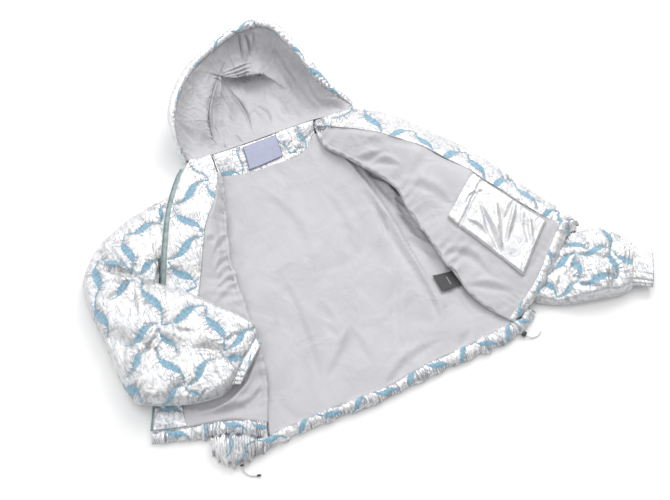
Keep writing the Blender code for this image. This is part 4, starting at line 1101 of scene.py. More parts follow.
def quilted(plane, edges, puff, seed):
    """Heights of quilted cloth, full between the stitched lines and puckered along them, and its fans.

    The fans say how far along its line each point is, and how strongly fine wrinkles fan out there.
    """
    lines = [s_line(edge, LINE_POINTS)[1] for edge in edges]
    spots = np.stack(lines)
    lengths = [np.linalg.norm(line[-1] - line[0]) for line in lines]
    runs = np.stack([k * 0.5 + np.linspace(0, length, LINE_POINTS) for k, length in enumerate(lengths)])
    flat = plane.reshape(-1, 2)
    away = np.empty(len(flat))
    run = np.empty(len(flat))
    clear = np.ones(len(flat))
    for first in range(0, len(flat), BLOCK):
        block = slice(first, first + BLOCK)
        part = flat[block]
        here = np.arange(len(part))
        gap = np.linalg.norm(part[:, None, None] - spots[None], axis=3)
        best = gap.argmin(axis=2)
        least = gap.min(axis=2)
        line = least.argmin(axis=1)
        near = best[here, line]
        before = spots[line, np.maximum(near - 1, 0)]
        after = spots[line, np.minimum(near + 1, LINE_POINTS - 1)]
        step = after - before
        slide = ((part - spots[line, near]) * step).sum(axis=1) / np.linalg.norm(step, axis=1)
        run[block] = runs[line, near] + np.where((near > 0) & (near < LINE_POINTS - 1), slide, 0.0)
        away[block] = least[here, line]
        if len(lines) > 1:
            order = np.partition(least, 1, axis=1)
            clear[block] = np.clip((order[:, 1] - order[:, 0]) / 0.007, 0, 1)
    away, run, clear = (field.reshape(plane.shape[:2]) for field in (away, run, clear))
    fans = np.stack([run, np.clip(away / 0.004, 0, 1) * np.exp(-((away / FAN_REACH) ** 2)) * clear], axis=2)
    rng = np.random.default_rng(seed)
    full = 1 - np.exp(-((away / STITCH_REACH) ** 0.9))
    pace = 2 * math.pi / PUCKER_PITCH
    ripple = np.sin(run * pace + 1.7 * np.sin(run * 190 + rng.uniform(0, 6))) * np.exp(-away / PUCKER_REACH)
    return puff * (full - QUILT_SINK) + PUCKER_DEPTH * ripple * np.clip(away / 0.002, 0, 1), fans


OFF_FLOOR = 0.0002  # the lowest that any point of the jacket lies
FINISHES = {}  # each finish that has been made


def finish_of(name):
    """The material of a finish, made when it is first asked for."""
    makers = {
        "foil": lambda: foil("foil_cloth"),
        # The pocket's foil is painted a tenth darker all over, as shade.
        "plain_foil": lambda: foil("plain_foil_cloth", (0.80, 0.80, 0.80), 0.40, 0.55, 0.90),
        # The hems' foil is painted a tenth lighter all over, as light, and its wrinkles a little darker, as
        # shade.
        "hem_foil_painted_lighter": lambda: foil("hem_foil_cloth", (0.88, 0.885, 0.90), 1.15, 0.50, 1.10),
        "lining": lining_cloth,
        "thread": embroidery,
        "tape": tape_cloth,
        "neck_label": lambda: label_cloth("neck_label_cloth", (0.45, 0.48, 0.63), (0.16, 0.18, 0.30)),
        "care_label": lambda: label_cloth("care_label_cloth", (0.050, 0.050, 0.053), (0.028, 0.028, 0.032),
                                          (0.34, 0.34, 0.35)),
        "metal": metal_plating,
        "toggle": dark_plastic,
        "cord": braid,
    }
    if name not in FINISHES:
        FINISHES[name] = makers[name]()
    return FINISHES[name]


def inside_out(points, faces):
    """Whether a closed form's faces look inwards."""
    corners = np.array([f[:3] for f in faces])
    a, b, c = points[corners[:, 0]], points[corners[:, 1]], points[corners[:, 2]]
    volume = (a * np.cross(b, c)).sum()
    quads = np.array([f for f in faces if len(f) == 4]).reshape(-1, 4)
    a, b, c = points[quads[:, 0]], points[quads[:, 2]], points[quads[:, 3]]
    return volume + (a * np.cross(b, c)).sum() < 0


def piece(name, points, faces, finish, replaces=(), cloth=None, closed=True, layer_name="cloth"):
    """A smooth-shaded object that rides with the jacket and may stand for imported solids."""
    points = np.array(points, float)
    points[:, 2] = np.maximum(points[:, 2], OFF_FLOOR)
    mesh = bpy.data.meshes.new(name)
    mesh.from_pydata(points.tolist(), [], faces)
    if closed and inside_out(points, faces):
        mesh.flip_normals()
    if cloth is not None:
        layer = mesh.uv_layers.new(name=layer_name)
        loops = np.empty(len(mesh.loops), int)
        mesh.loops.foreach_get("vertex_index", loops)
        layer.data.foreach_set("uv", np.asarray(cloth, float)[loops].ravel())
    mesh.materials.append(finish_of(finish))
    mesh.shade_smooth()
    made = linked(name, mesh)
    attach(made, "root")
    if replaces:
        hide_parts(*replaces)
    return made


def shell_faces(rows, columns, around_steps):
    """Faces of a closed wall: upper grid, lower grid, and the rim between them in steps."""
    count = rows * columns
    i, j = np.meshgrid(np.arange(rows - 1), np.arange(columns - 1), indexing="ij")
    a = (i * columns + j).ravel()
    upper = np.stack([a, a + 1, a + columns + 1, a + columns], axis=1)
    lower = upper[:, ::-1] + count
    around = list(range(columns - 1))
    around += [(k + 1) * columns - 1 for k in range(rows - 1)]
    around += [rows * columns - 1 - k for k in range(columns - 1)]
    around += [(rows - 1 - k) * columns for k in range(rows - 1)]
    around = np.array(around)
    size = len(around)
    levels = [around]
    for step in range(around_steps):
        levels.append(2 * count + step * size + np.arange(size))
    levels.append(around + count)
    rim = []
    for above, below in zip(levels, levels[1:]):
        rim.append(np.stack([above, below, np.roll(below, -1), np.roll(above, -1)], axis=1))
    return np.concatenate([upper, lower] + rim), around


def thick_cloth(name, upper, lower, finish, bulge, steps, under=None, fans=None):
    """The piece that stands for a packed wall, between two fine grids, its rim rounded out by bulge.

    Where under is a number, the underside, which lies hidden on what carries it, is made with every so
    many rows and columns, and none where it is 0.
    """
    rows, columns = upper.shape[:2]
    faces, around = shell_faces(rows, columns, steps)
    up, low = upper.reshape(-1, 3), lower.reshape(-1, 3)
    ring_up, ring_low = up[around], low[around]
    inside = np.clip(around // columns, 1, rows - 2) * columns + np.clip(around % columns, 1, columns - 2)
    out = ring_up - up[inside]
    out[:, 2] = 0.0
    out /= np.maximum(np.linalg.norm(out, axis=1, keepdims=True), 1e-9)
    points = [up, low]
    for step in range(steps):
        f = (step + 1) / (steps + 1)
        deep = np.minimum(bulge, 0.5 * np.abs(ring_up[:, 2] - ring_low[:, 2]))[:, None]
        points.append(ring_up + (ring_low - ring_up) * f + out * deep * math.sin(math.pi * f))
    u, v = np.meshgrid(np.linspace(0, 1, rows), np.linspace(0, 1, columns), indexing="ij")
    share = np.stack([u.ravel(), v.ravel()], axis=1)
    cloth = np.concatenate([share, share] + [share[around]] * steps)
    if fans is not None:
        cloth *= 0
        cloth[: rows * columns] = fans.reshape(-1, 2)
    layer = "cloth" if fans is None else "fans"
    points = np.concatenate(points)
    if under is None:
        return piece("cloth_" + name, points, faces.tolist(), finish, (name,), cloth, True, layer)
    cells = (rows - 1) * (columns - 1)
    kept = [faces[:cells], faces[2 * cells :]]
    if under:
        r = np.unique(np.append(np.arange(0, rows, under), rows - 1))
        c = np.unique(np.append(np.arange(0, columns, under), columns - 1))
        near, far = r[:-1, None] * columns, r[1:, None] * columns
        first, last = c[None, :-1], c[None, 1:]
        corners = (near + first, far + first, far + last, near + last)
        kept.append(np.stack([corner.ravel() for corner in corners], axis=1) + rows * columns)
    kept = np.concatenate(kept)
    used = np.unique(kept)
    place = np.zeros(len(points), int)
    place[used] = np.arange(len(used))
    kept = place[kept]
    middle = (upper[:-1, :-1] + upper[1:, 1:] - lower[:-1, :-1] - lower[1:, 1:]).reshape(-1, 3)
    across = np.cross(upper[1:, 1:] - upper[:-1, :-1], upper[1:, :-1] - upper[:-1, 1:]).reshape(-1, 3)
    if (middle * across).sum() < 0:
        kept = kept[:, ::-1]
    return piece("cloth_" + name, points[used], kept.tolist(), finish, (name,), cloth[used], False, layer)


def tube(name, node, rings, finish, fans=None):
    """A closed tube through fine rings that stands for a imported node, its ends drawn in.

    Where fans is a number, it is how strongly the foil is wrinkled across the tube.
    """
    rings = np.asarray(rings, float)
    first, last = (ring.mean(axis=0) + (ring - ring.mean(axis=0)) * 0.5 for ring in (rings[0], rings[-1]))
    rings = np.concatenate([first[None], rings, last[None]])
    count, sides = rings.shape[:2]
    i, j = np.meshgrid(np.arange(count - 1), np.arange(sides), indexing="ij")
    a, b = (i * sides + j).ravel(), (i * sides + (j + 1) % sides).ravel()
    faces = np.stack([a, b, b + sides, a + sides], axis=1).tolist()
    faces.append(list(range(sides))[::-1])
    faces.append([(count - 1) * sides + k for k in range(sides)])
    u, v = np.meshgrid(np.linspace(0, 1, count), np.linspace(0, 1, sides), indexing="ij")
    cloth = np.stack([u.ravel(), v.ravel()], axis=1)
    if fans is not None:
        steps = np.linalg.norm(np.diff(rings.mean(axis=1), axis=0), axis=1)
        run = np.concatenate([[0.0], np.cumsum(steps)])
        cloth = np.stack([np.repeat(run, sides), np.full(count * sides, fans)], axis=1)
    layer = "cloth" if fans is None else "fans"
    return piece(name, rings.reshape(-1, 3), faces, finish, (node,), cloth, True, layer)


def tree_of(made):
    """A search tree over a piece's faces."""
    points = [v.co.copy() for v in made.data.vertices]
    return BVHTree.FromPolygons(points, [list(p.vertices) for p in made.data.polygons])


LEAF_SHARE = 0.60  # a leaf's length, as a share of its line
LEAF_HALF = 0.0100  # half of a leaf's width
STEM_HALF = 0.0014
LEAF_POINTS = 112  # along each line
LEAF_SHARES = (-1.0, -0.5, 0.0, 0.5, 1.0)  # the ribbon's points across it
WORLD_DOWN = Vector((0, 0, -1))


def from_above(tree, at):
    """The spot and normal that a piece shows from above at a place in plan."""
    spot, normal, _, _ = tree.ray_cast(Vector((at[0], at[1], 0.4)), WORLD_DOWN)
    if spot is None or normal.z < 0.22:
        return None
    return spot, normal


def leaves(name, made, edges, spot_of=from_above):
    """Embroidered stems with a leaf in the middle of each, laid on the piece under them."""
    tree = tree_of(made)
    points, faces, cloth = [], [], []
    for number, edge in enumerate(edges):
        t, line = s_line(edge, LEAF_POINTS)
        leafy = edge[4] if len(edge) > 4 else 1.0
        run = np.gradient(line, axis=0)
        run /= np.linalg.norm(run, axis=1, keepdims=True)
        side = np.stack([-run[:, 1], run[:, 0]], axis=1)
        length = np.linalg.norm(line[-1] - line[0])
        inside = np.clip((t - 0.5) / LEAF_SHARE + 0.5, 0, 1)
        jags = 0.86 + 0.34 * (np.arange(LEAF_POINTS) % 4 / 3.0 - 0.5) + 0.06 * np.sin(t * 61 + number)
        leaf = LEAF_HALF * leafy * np.sin(math.pi * inside) ** 0.68 * jags * min(1.0, length / 0.09)
        half = np.maximum(leaf, STEM_HALF)
        curve = 0.0014 * leafy * np.sin(math.pi * inside) * (1 if number % 2 else -1)
        first = len(points)
        good = []
        for k in range(LEAF_POINTS):
            for share in LEAF_SHARES:
                at = line[k] + side[k] * (half[k] * share + curve[k])
                found = spot_of(tree, at)
                good.append(found is not None)
                spot, normal = found or (Vector((0, 0, 0)), Vector((0, 0, 1)))
                lift = 0.0003 + 0.0007 * (1 - share * share)
                points.append(tuple(spot + normal * lift))
                cloth.append((t[k] * length, half[k] * share))
        for k in range(LEAF_POINTS - 1):
            for m in range(4):
                a = k * 5 + m
                corners = (a, a + 1, a + 6, a + 5)
                if all(good[c] for c in corners):
                    faces.append([first + c for c in corners])
    used = sorted({c for face in faces for c in face})
    place = {c: n for n, c in enumerate(used)}
    faces = [[place[c] for c in face] for face in faces]
    points = [points[c] for c in used]
    cloth = [cloth[c] for c in used]
    return piece("leaves_" + name, points, faces, "thread", (), cloth, closed=False)


def tuck(grid, out, path, lip, reach, sink, run, hang, lip_side):
    """A fold that overhangs: a rounded lip on one side of a path in space and a hollow on the other.

    Gives how far each point rises, and how far the lip is carried over the hollow.
    """
    flat, facing = grid.reshape(-1, 3), out.reshape(-1, 3)
    gap = np.linalg.norm(flat[:, None] - path[None], axis=2)
    near = gap.argmin(axis=1)
    tangent = np.gradient(path, axis=0)[near]
    side = np.sign((np.cross(tangent, flat - path[near]) * facing).sum(axis=1))
    chosen = np.linalg.norm(flat - lip_side, axis=1).argmin()
    away = gap[np.arange(len(flat)), near] * side * side[chosen]
    step = 1 / (1 + np.exp(-np.clip(away / 0.0006, -40, 40)))
    fade = np.sin(math.pi * np.clip(near / (len(path) - 1), 0.02, 0.98)) ** 0.8
    rise = lip * np.exp(-((np.maximum(away, 0) / reach) ** 2))
    fall = sink * np.exp(-((np.maximum(-away, 0) / run) ** 2))
    height = (fade * (step * rise - (1 - step) * fall)).reshape(grid.shape[:2])
    beside = (path[near] - flat) / np.maximum(np.linalg.norm(path[near] - flat, axis=1), 1e-5)[:, None]
    carried = hang * fade * step * np.exp(-((np.maximum(away, 0) / 0.016) ** 2))
    return height, (beside * carried[:, None]).reshape(grid.shape)


def crease(grid, depth, width, *line, dims=2):
    """How far a soft crease along a line sinks each point. Its ends fade."""
    path = through(np.asarray(line, float), np.linspace(0, 1, 60))
    flat = grid.reshape(-1, grid.shape[-1])[:, :dims]
    gap = np.linalg.norm(flat[:, None] - path[None, :, :dims], axis=2)
    near = gap.argmin(axis=1)
    taper = np.sin(math.pi * np.clip(near / 59.0, 0.02, 0.98))
    away = gap[np.arange(len(flat)), near] / (width * (0.45 + 0.55 * taper))
    fade = taper**1.1
    if dims == 2:
        run = np.gradient(path[:, :2], axis=0)[near]
        offset = flat - path[near, :2]
        away = away * np.sign(run[:, 0] * offset[:, 1] - run[:, 1] * offset[:, 0])
        shape = -np.exp(-(away**2)) + 0.75 * np.exp(-(((away - 1.5) / 0.9) ** 2))
    else:
        shape = -np.exp(-(away**2)) + 0.45 * np.exp(-((away - 2.0) ** 2))
    return (depth * fade * shape).reshape(grid.shape[:2])


# Stitched lines, each from one crossing to the next in plan, with the fullness of its leaf.
LINES_SLEEVE_RIGHT = (
    (-0.404, 0.193, -0.324, 0.192), (-0.405, 0.191, -0.420, 0.095), (-0.468, 0.159, -0.422, 0.094),
    (-0.417, 0.087, -0.355, 0.108), (-0.420, 0.077, -0.482, 0.051), (-0.474, 0.155, -0.508, 0.071),
    (-0.508, 0.068, -0.513, -0.021), (-0.405, 0.071, -0.404, -0.049), (-0.404, -0.050, -0.306, -0.043),
    (-0.307, -0.045, -0.308, -0.149), (-0.310, -0.150, -0.238, -0.128), (-0.409, -0.045, -0.487, -0.058),
    (-0.412, -0.054, -0.397, -0.116, 0.85), (-0.448, -0.086, -0.506, -0.123),
    (-0.432, -0.096, -0.406, -0.189),
    (-0.402, -0.192, -0.333, -0.159), (-0.316, -0.153, -0.268, -0.197), (-0.410, -0.189, -0.462, -0.202),
    (-0.407, -0.193, -0.385, -0.226), (-0.516, -0.121, -0.495, -0.183), (-0.300, 0.238, -0.327, 0.194),
)
LINES_SLEEVE_LEFT = (
    (0.385, -0.240, 0.454, -0.233), (0.362, -0.245, 0.372, -0.302), (0.374, -0.304, 0.424, -0.295),
    (0.448, -0.190, 0.478, -0.238), (0.456, -0.234, 0.523, -0.258), (0.424, -0.297, 0.500, -0.322),
    (0.523, -0.258, 0.500, -0.322), (0.454, -0.235, 0.424, -0.293), (0.523, -0.256, 0.545, -0.200),
    (0.560, -0.330, 0.525, -0.260), (0.300, -0.150, 0.362, -0.243),
)
LINES_FACING_RIGHT = (
    (-0.214, 0.300, -0.191, 0.253, 0.0), (-0.192, 0.253, -0.287, 0.213), (-0.288, 0.208, -0.253, 0.118),
    (-0.254, 0.116, -0.343, 0.096), (-0.341, 0.091, -0.307, 0.019), (-0.307, 0.019, -0.385, -0.010),
    (-0.198, 0.242, -0.184, 0.165), (-0.470, -0.190, -0.428, -0.228), (-0.470, -0.238, -0.432, -0.290),
    (-0.395, -0.140, -0.455, -0.185), (-0.345, -0.055, -0.420, -0.075),
)
LINES_NECK = (
    (-0.172, 0.284, -0.117, 0.251), (-0.116, 0.251, -0.095, 0.311, 0.0), (0.047, 0.311, 0.043, 0.258),
    (0.042, 0.262, 0.004, 0.262, 0.0), (0.004, 0.262, -0.012, 0.311, 0.0),
)
LINES_FACING_LEFT = (
    (0.100, 0.296, 0.120, 0.240), (0.121, 0.292, 0.203, 0.286, 0.0), (0.203, 0.288, 0.196, 0.191),
    (0.196, 0.187, 0.273, 0.177), (0.274, 0.174, 0.279, 0.098), (0.272, 0.083, 0.359, 0.083),
    (0.359, 0.080, 0.350, -0.012), (0.340, -0.024, 0.420, -0.022), (0.418, -0.028, 0.425, -0.113),
    (0.409, -0.130, 0.470, -0.131), (0.469, -0.134, 0.452, -0.190),
)
LINES_HEM_BACK = (
    (0.262, -0.308, 0.304, -0.334), (0.222, -0.352, 0.262, -0.312), (0.165, -0.318, 0.214, -0.352),
    (0.110, -0.352, 0.160, -0.320), (0.050, -0.322, 0.104, -0.352), (-0.010, -0.356, 0.044, -0.324),
    (-0.070, -0.336, -0.014, -0.358), (-0.130, -0.358, -0.074, -0.336), (-0.190, -0.334, -0.134, -0.358),
    (-0.250, -0.358, -0.194, -0.334), (-0.384, -0.346, -0.350, -0.308), (-0.366, -0.362, -0.320, -0.338),
    (-0.318, -0.336, -0.262, -0.356),
)
LINES_HEM_RIGHT = (
    (-0.476, -0.232, -0.434, -0.286), (-0.388, -0.256, -0.412, -0.296), (-0.366, -0.266, -0.328, -0.312),
    (-0.312, -0.300, -0.284, -0.338),
)
LINES_HEM_LEFT = (
    (0.262, -0.322, 0.300, -0.286), (0.330, -0.296, 0.352, -0.262), (0.392, -0.236, 0.402, -0.190),
    (0.452, -0.200, 0.480, -0.160),
)
LINES_CUFF_RIGHT = ((-0.262, -0.176, -0.276, -0.216), (-0.236, -0.140, -0.226, -0.190))

# Soft creases in the linings: depth, width, then points in plan.
CREASES_BACK = (
    (0.0022, 0.010, (-0.133, 0.004), (-0.138, -0.137), (-0.157, -0.319)),
    (0.0020, 0.009, (-0.100, -0.148), (-0.086, -0.199)),
    (0.0020, 0.010, (-0.053, -0.184), (-0.044, -0.287)),
    (0.0024, 0.012, (0.102, -0.104), (0.050, -0.190), (0.022, -0.279)),
    (0.0030, 0.010, (0.104, 0.120), (0.117, 0.050), (0.120, -0.054), (0.128, -0.186), (0.119, -0.253)),
    (0.0024, 0.010, (0.171, -0.296), (0.132, -0.328)),
    (-0.0028, 0.007, (0.100, 0.235), (0.112, 0.190), (0.125, 0.110), (0.136, 0.008), (0.140, -0.120),
     (0.146, -0.235)),
    (0.0020, 0.014, (-0.090, 0.200), (-0.060, 0.080), (-0.070, -0.040)),
    (0.0016, 0.012, (0.030, 0.150), (0.040, 0.050), (0.010, -0.060)),
    (0.0022, 0.012, (0.180, -0.060), (0.176, -0.180), (0.190, -0.280)),
    (0.0024, 0.011, (-0.087, -0.100), (-0.083, -0.150), (-0.083, -0.200)),
    (0.0024, 0.011, (0.133, -0.160), (0.128, -0.210), (0.124, -0.250)),
    (0.0022, 0.011, (-0.050, -0.346), (0.030, -0.306), (0.110, -0.291)),
    (0.0007, 0.010, (0.069, 0.020), (0.045, -0.031), (-0.009, -0.047), (-0.096, -0.035)),
    (0.0080, 0.010, (0.140, 0.150), (0.158, 0.128), (0.176, 0.092)),
    (-0.0045, 0.006, (0.150, 0.160), (0.168, 0.120), (0.184, 0.070)),
    (0.0040, 0.006, (0.150, 0.082), (0.170, 0.060), (0.196, 0.010)),
    (0.0040, 0.007, (0.150, 0.020), (0.176, -0.010), (0.196, -0.060)),
    (0.0032, 0.007, (0.119, 0.055), (0.117, 0.013), (0.109, -0.032)),
    (0.0030, 0.009, (0.138, -0.036), (0.166, -0.075), (0.205, -0.138)),
    (0.0034, 0.009, (0.136, 0.142), (0.157, 0.086), (0.160, 0.040)),
    (0.0030, 0.009, (0.169, 0.050), (0.172, -0.022), (0.183, -0.072)),
    (-0.0030, 0.009, (0.150, 0.150), (0.168, 0.090), (0.172, 0.030)),
    (0.0020, 0.012, (-0.143, -0.280), (-0.081, -0.232), (-0.046, -0.192)),
)
CREASES_RIGHT = (
    (0.0075, 0.010, (-0.425, -0.212), (-0.380, -0.230), (-0.335, -0.224), (-0.285, -0.196), (-0.245, -0.150)),
    (-0.0055, 0.007, (-0.380, -0.248), (-0.335, -0.244), (-0.290, -0.222), (-0.252, -0.180)),
    (0.0050, 0.009, (-0.418, -0.243), (-0.342, -0.262), (-0.290, -0.262), (-0.250, -0.225)),
    (0.0030, 0.006, (-0.248, 0.070), (-0.215, 0.100), (-0.196, 0.105)),
    (0.0030, 0.006, (-0.262, 0.030), (-0.230, 0.055), (-0.206, 0.060)),
    (0.0030, 0.006, (-0.272, -0.005), (-0.238, 0.008), (-0.212, 0.006)),
    (0.0020, 0.008, (-0.250, 0.100), (-0.228, 0.108)),
    (0.0020, 0.008, (-0.238, 0.060), (-0.215, 0.075)),
    (0.0022, 0.008, (-0.262, 0.010), (-0.235, 0.030), (-0.214, 0.032)),
    (0.0022, 0.008, (-0.290, -0.040), (-0.250, -0.020), (-0.222, -0.012)),
    (0.0024, 0.009, (-0.215, -0.122), (-0.232, -0.191), (-0.222, -0.240)),
    (-0.0024, 0.009, (-0.234, -0.150), (-0.250, -0.210), (-0.246, -0.270)),
    (0.0020, 0.008, (-0.205, 0.170), (-0.222, 0.090), (-0.232, 0.020)),
)
CREASES_LEFT = (
    (0.0040, 0.010, (0.124, 0.168), (0.155, 0.150), (0.185, 0.150)),
    (0.0035, 0.009, (0.142, 0.137), (0.172, 0.128), (0.200, 0.100)),
    (0.0025, 0.012, (0.190, 0.060), (0.230, 0.020), (0.262, -0.040)),
    (0.0030, 0.010, (0.196, -0.120), (0.240, -0.150), (0.262, -0.215)),
    (0.0030, 0.009, (0.212, -0.210), (0.250, -0.232), (0.290, -0.262)),
    (0.0020, 0.012, (0.262, 0.090), (0.222, 0.072), (0.200, 0.050)),
    (0.0022, 0.012, (0.150, 0.190), (0.200, 0.170), (0.260, 0.120)),
    (0.0018, 0.010, (0.300, -0.190), (0.340, -0.225), (0.390, -0.200)),
)
# Folds in the hood's lining that overhang: height and reach of the lip, depth and reach of the hollow,
# how far the lip hangs over, a point on the lip's side, then the fold's line. Places are shares along and
# across the lining.
TUCKS_HOOD = (
    (0.0200, 0.0300, 0.0105, 0.0300, 0.0070, (0.420, 0.150), (0.354, 0.160), (0.385, 0.232), (0.418, 0.266),
     (0.458, 0.292), (0.505, 0.345), (0.545, 0.420)),
    (0.0210, 0.0320, 0.0105, 0.0040, 0.0075, (0.200, 0.450), (0.356, 0.140), (0.306, 0.228), (0.256, 0.350),
     (0.226, 0.500), (0.212, 0.660), (0.210, 0.860)),
    (0.0085, 0.0080, 0.0105, 0.0280, 0.0012, (0.300, 0.300), (0.364, 0.150), (0.346, 0.250), (0.322, 0.370),
     (0.306, 0.520), (0.300, 0.640)),
    (0.0040, 0.0060, 0.0060, 0.0050, 0.0030, (0.420, 0.080), (0.446, 0.004), (0.442, 0.070), (0.436, 0.170)),
)
# Creases in the hood's lining: depth, width, then shares along and across it.
CREASES_HOOD = (
    (0.0080, 0.0020, (0.364, 0.160), (0.375, 0.400), (0.386, 0.640), (0.375, 0.960)),
    (0.0050, 0.0019, (0.356, 0.150), (0.385, 0.172), (0.414, 0.186), (0.445, 0.192), (0.478, 0.205)),
    (0.0045, 0.0019, (0.362, 0.172), (0.398, 0.206), (0.436, 0.218), (0.476, 0.240)),
    (0.0045, 0.0020, (0.374, 0.196), (0.405, 0.232), (0.440, 0.246), (0.476, 0.282)),
    (0.0040, 0.0018, (0.330, 0.140), (0.346, 0.180), (0.352, 0.230)),
    (0.0060, 0.0022, (0.466, 0.000), (0.472, 0.080), (0.466, 0.160)),
    (0.0045, 0.0030, (0.492, 0.010), (0.482, 0.130)),
    (0.0040, 0.0022, (0.250, 0.820), (0.236, 0.900), (0.232, 0.990)),
    (0.0030, 0.0018, (0.312, 0.780), (0.316, 0.990)),
    (0.0060, 0.0110, (0.600, 0.200), (0.690, 0.480), (0.800, 0.640)),
    (0.0050, 0.0100, (0.500, 0.500), (0.600, 0.780), (0.700, 0.880)),
    (0.0050, 0.0100, (0.193, 0.500), (0.176, 0.700), (0.160, 0.900)),
    (0.0045, 0.0090, (0.760, 0.350), (0.850, 0.500), (0.930, 0.600)),
    (0.0040, 0.0080, (0.840, 0.300), (0.900, 0.480), (0.960, 0.560)),
    (0.0040, 0.0070, (0.550, 0.100), (0.620, 0.260), (0.660, 0.420)),
    (0.0040, 0.0070, (0.700, 0.100), (0.740, 0.260), (0.800, 0.380)),
    (0.0035, 0.0060, (0.280, 0.040), (0.262, 0.160), (0.240, 0.250)),
    (0.0035, 0.0060, (0.150, 0.100), (0.150, 0.300), (0.140, 0.480)),
    (0.0030, 0.0050, (0.430, 0.560), (0.470, 0.700), (0.480, 0.860)),
    (0.0030, 0.0050, (0.560, 0.640), (0.580, 0.760), (0.640, 0.900)),
    (0.0080, 0.0220, (0.338, 0.260), (0.322, 0.430), (0.330, 0.640)),
    (0.0080, 0.0280, (0.430, 0.330), (0.470, 0.450), (0.530, 0.600)),
    (0.0080, 0.0280, (0.510, 0.120), (0.570, 0.230), (0.620, 0.360)),
    (-0.0130, 0.0065, (0.350, 0.170), (0.310, 0.262), (0.272, 0.380), (0.246, 0.520), (0.232, 0.720)),
    (-0.0070, 0.0060, (0.457, 0.010), (0.455, 0.100), (0.440, 0.200)),
    (-0.0070, 0.0200, (0.560, 0.250), (0.640, 0.480), (0.740, 0.620)),
)


# ---------------------------------------------------------------- pieces
CREASE_GAIN = 1.5  # how much deeper than its table says a crease in a lining is drawn
LINING_THICK = 0.0012
SHELL_SINK = 0.011
SHELL_STEP = 0.008  # cells of a padded shell under its lining
QUILT_STEP = 0.0023  # cells of quilted cloth


def rumpled(grid, size, depth, seed):
    """Soft unevenness of cloth that lies loosely."""
    return depth * (waves(grid, size, seed) + 0.45 * waves(grid, size * 0.45, seed + 9))


def run_along(grid, axis):
    """How far each point is along its row or its column, in metres."""
    steps = np.linalg.norm(np.diff(grid, axis=axis), axis=2)
    start = np.zeros_like(np.take(steps, [0], axis=axis))
    return np.concatenate([start, np.cumsum(steps, axis=axis)], axis=axis)


def edge_distance(grid):
    """How far each point of a grid is from the grid's nearest edge, measured along rows and columns."""
    runs = [(run_along(grid, axis), axis) for axis in (0, 1)]
    return np.minimum(*(np.minimum(far, np.take(far, [-1], axis=axis) - far) for far, axis in runs))


def edge_pucker(grid, axis, at_end, reach, size, depth, seed):
    """Small puckers that run in from a sewn edge and fade."""
    far, run = run_along(grid, axis), run_along(grid, 1 - axis)
    if at_end:
        far = np.take(far, [-1], axis=axis) - far
    phase = 2 * math.pi * run / size + 1.9 * np.sin(run * 2 * math.pi / (size * 5.3) + seed)
    varied = 0.6 + 0.6 * np.sin(run * 2 * math.pi / (size * 7.9) + 2 * seed)
    return depth * varied * np.sin(phase) * np.exp(-far / (reach * (0.5 + 0.5 * varied)))


def nearest(grid, spots):
    """Which of the spots in plan is nearest to each point of a grid, and how far it is."""
    flat, spots = grid[:, :, :2].reshape(-1, 2), spots[:, :, :2].reshape(-1, 2)
    which, gap = np.empty(len(flat), int), np.empty(len(flat))
    for first in range(0, len(flat), BLOCK):
        block = slice(first, first + BLOCK)
        away = np.linalg.norm(flat[block, None] - spots[None], axis=2)
        which[block], gap[block] = away.argmin(axis=1), away.min(axis=1)
    return which.reshape(grid.shape[:2]), gap.reshape(grid.shape[:2])


def creased(height, grid, rows, gain=1.0):
    """Add soft creases, each a depth, a width and its line, to a grid's heights."""
    for row in rows:
        height += gain * crease(grid, *row)


def shell_grids(name):
    """Even grids of a padded shell's upper and lower face."""
    upper, lower = GRIDS[name]
    size = sized(upper, SHELL_STEP)
    return refine(upper, *size), refine(lower, *size)


def shell_sink(top, low):
    """How far a padded shell's upper face is pressed down under the lining that covers it."""
    deep = np.minimum(SHELL_SINK, 0.85 * np.linalg.norm(top - low, axis=2))
    return deep * np.clip(edge_distance(top) / 0.006, 0, 1)


def held_up(upper, height, shell):
    """Heights kept above the padded shell that lies under a lining."""
    top, low = shell_grids(shell)
    free = shell_sink(top, low).ravel()[nearest(upper, top)[0]]
    return np.maximum(height, np.minimum(0.0014 - free, 0.0004))


UNDER_CASING = 0.0045  # how far a cloth runs on under a casing, and how far it drops there


def run_under(upper):
    """Extra rows that carry a cloth's last row on and down, under the casing that it is sewn into."""
    step = upper[-1] - upper[-3]
    step[:, 2] = 0
    step /= np.maximum(np.linalg.norm(step, axis=1, keepdims=True), 1e-9)
    extra = [upper[-1] + step * UNDER_CASING * f + np.array([0, 0, -UNDER_CASING * f * f])
             for f in (0.34, 0.67, 1.0)]
    return np.concatenate([upper, np.stack(extra)])


def sized(coarse, step):
    """Rows and columns that give a coarse grid cells about step metres across."""
    rows = np.linalg.norm(np.diff(coarse, axis=0), axis=2).sum(axis=0).max()
    columns = np.linalg.norm(np.diff(coarse, axis=1), axis=2).sum(axis=1).max()
    return max(6, int(rows / step)), max(4, int(columns / step))


def pressed(grid, height, cover, reach=0.007):
    """Heights held down where another piece lies on the cloth."""
    gap = nearest(grid, refine(GRIDS[cover][0], 24, 30))[1]
    share = np.clip((gap - reach) / 0.012, 0, 1)
    return np.where(gap < reach + 0.012, np.minimum(height, -0.0008 + 0.004 * share), height)


def foil_facing(name, lines, seed, cover=None, puff=0.0055):
    """A quilted facing of foil with its leaves, pressed down where a label covers it."""
    coarse = GRIDS[name][0]
    upper = refine(coarse, *sized(coarse, QUILT_STEP))
    height, fans = quilted(upper[:, :, :2], lines, puff, seed)
    height += 0.0005 * crumpled(upper, 0.035, seed + 3)
    height += edge_pucker(upper, 0, True, 0.024, 0.009, 0.0011, seed)
    height += edge_pucker(upper, 1, True, 0.009, 0.011, 0.0006, seed + 1)
    height += edge_pucker(upper, 1, False, 0.009, 0.010, 0.0006, seed + 2)
    height *= np.clip(edge_distance(upper) / 0.006, 0.25, 1)
    if cover is not None:
        height = pressed(upper, height, cover)
    made = thick_cloth(name, raised(upper, height), raised(upper, -CLOTH - 0.002), "foil", 0.001, 1, 0, fans)
    leaves(name, made, lines)


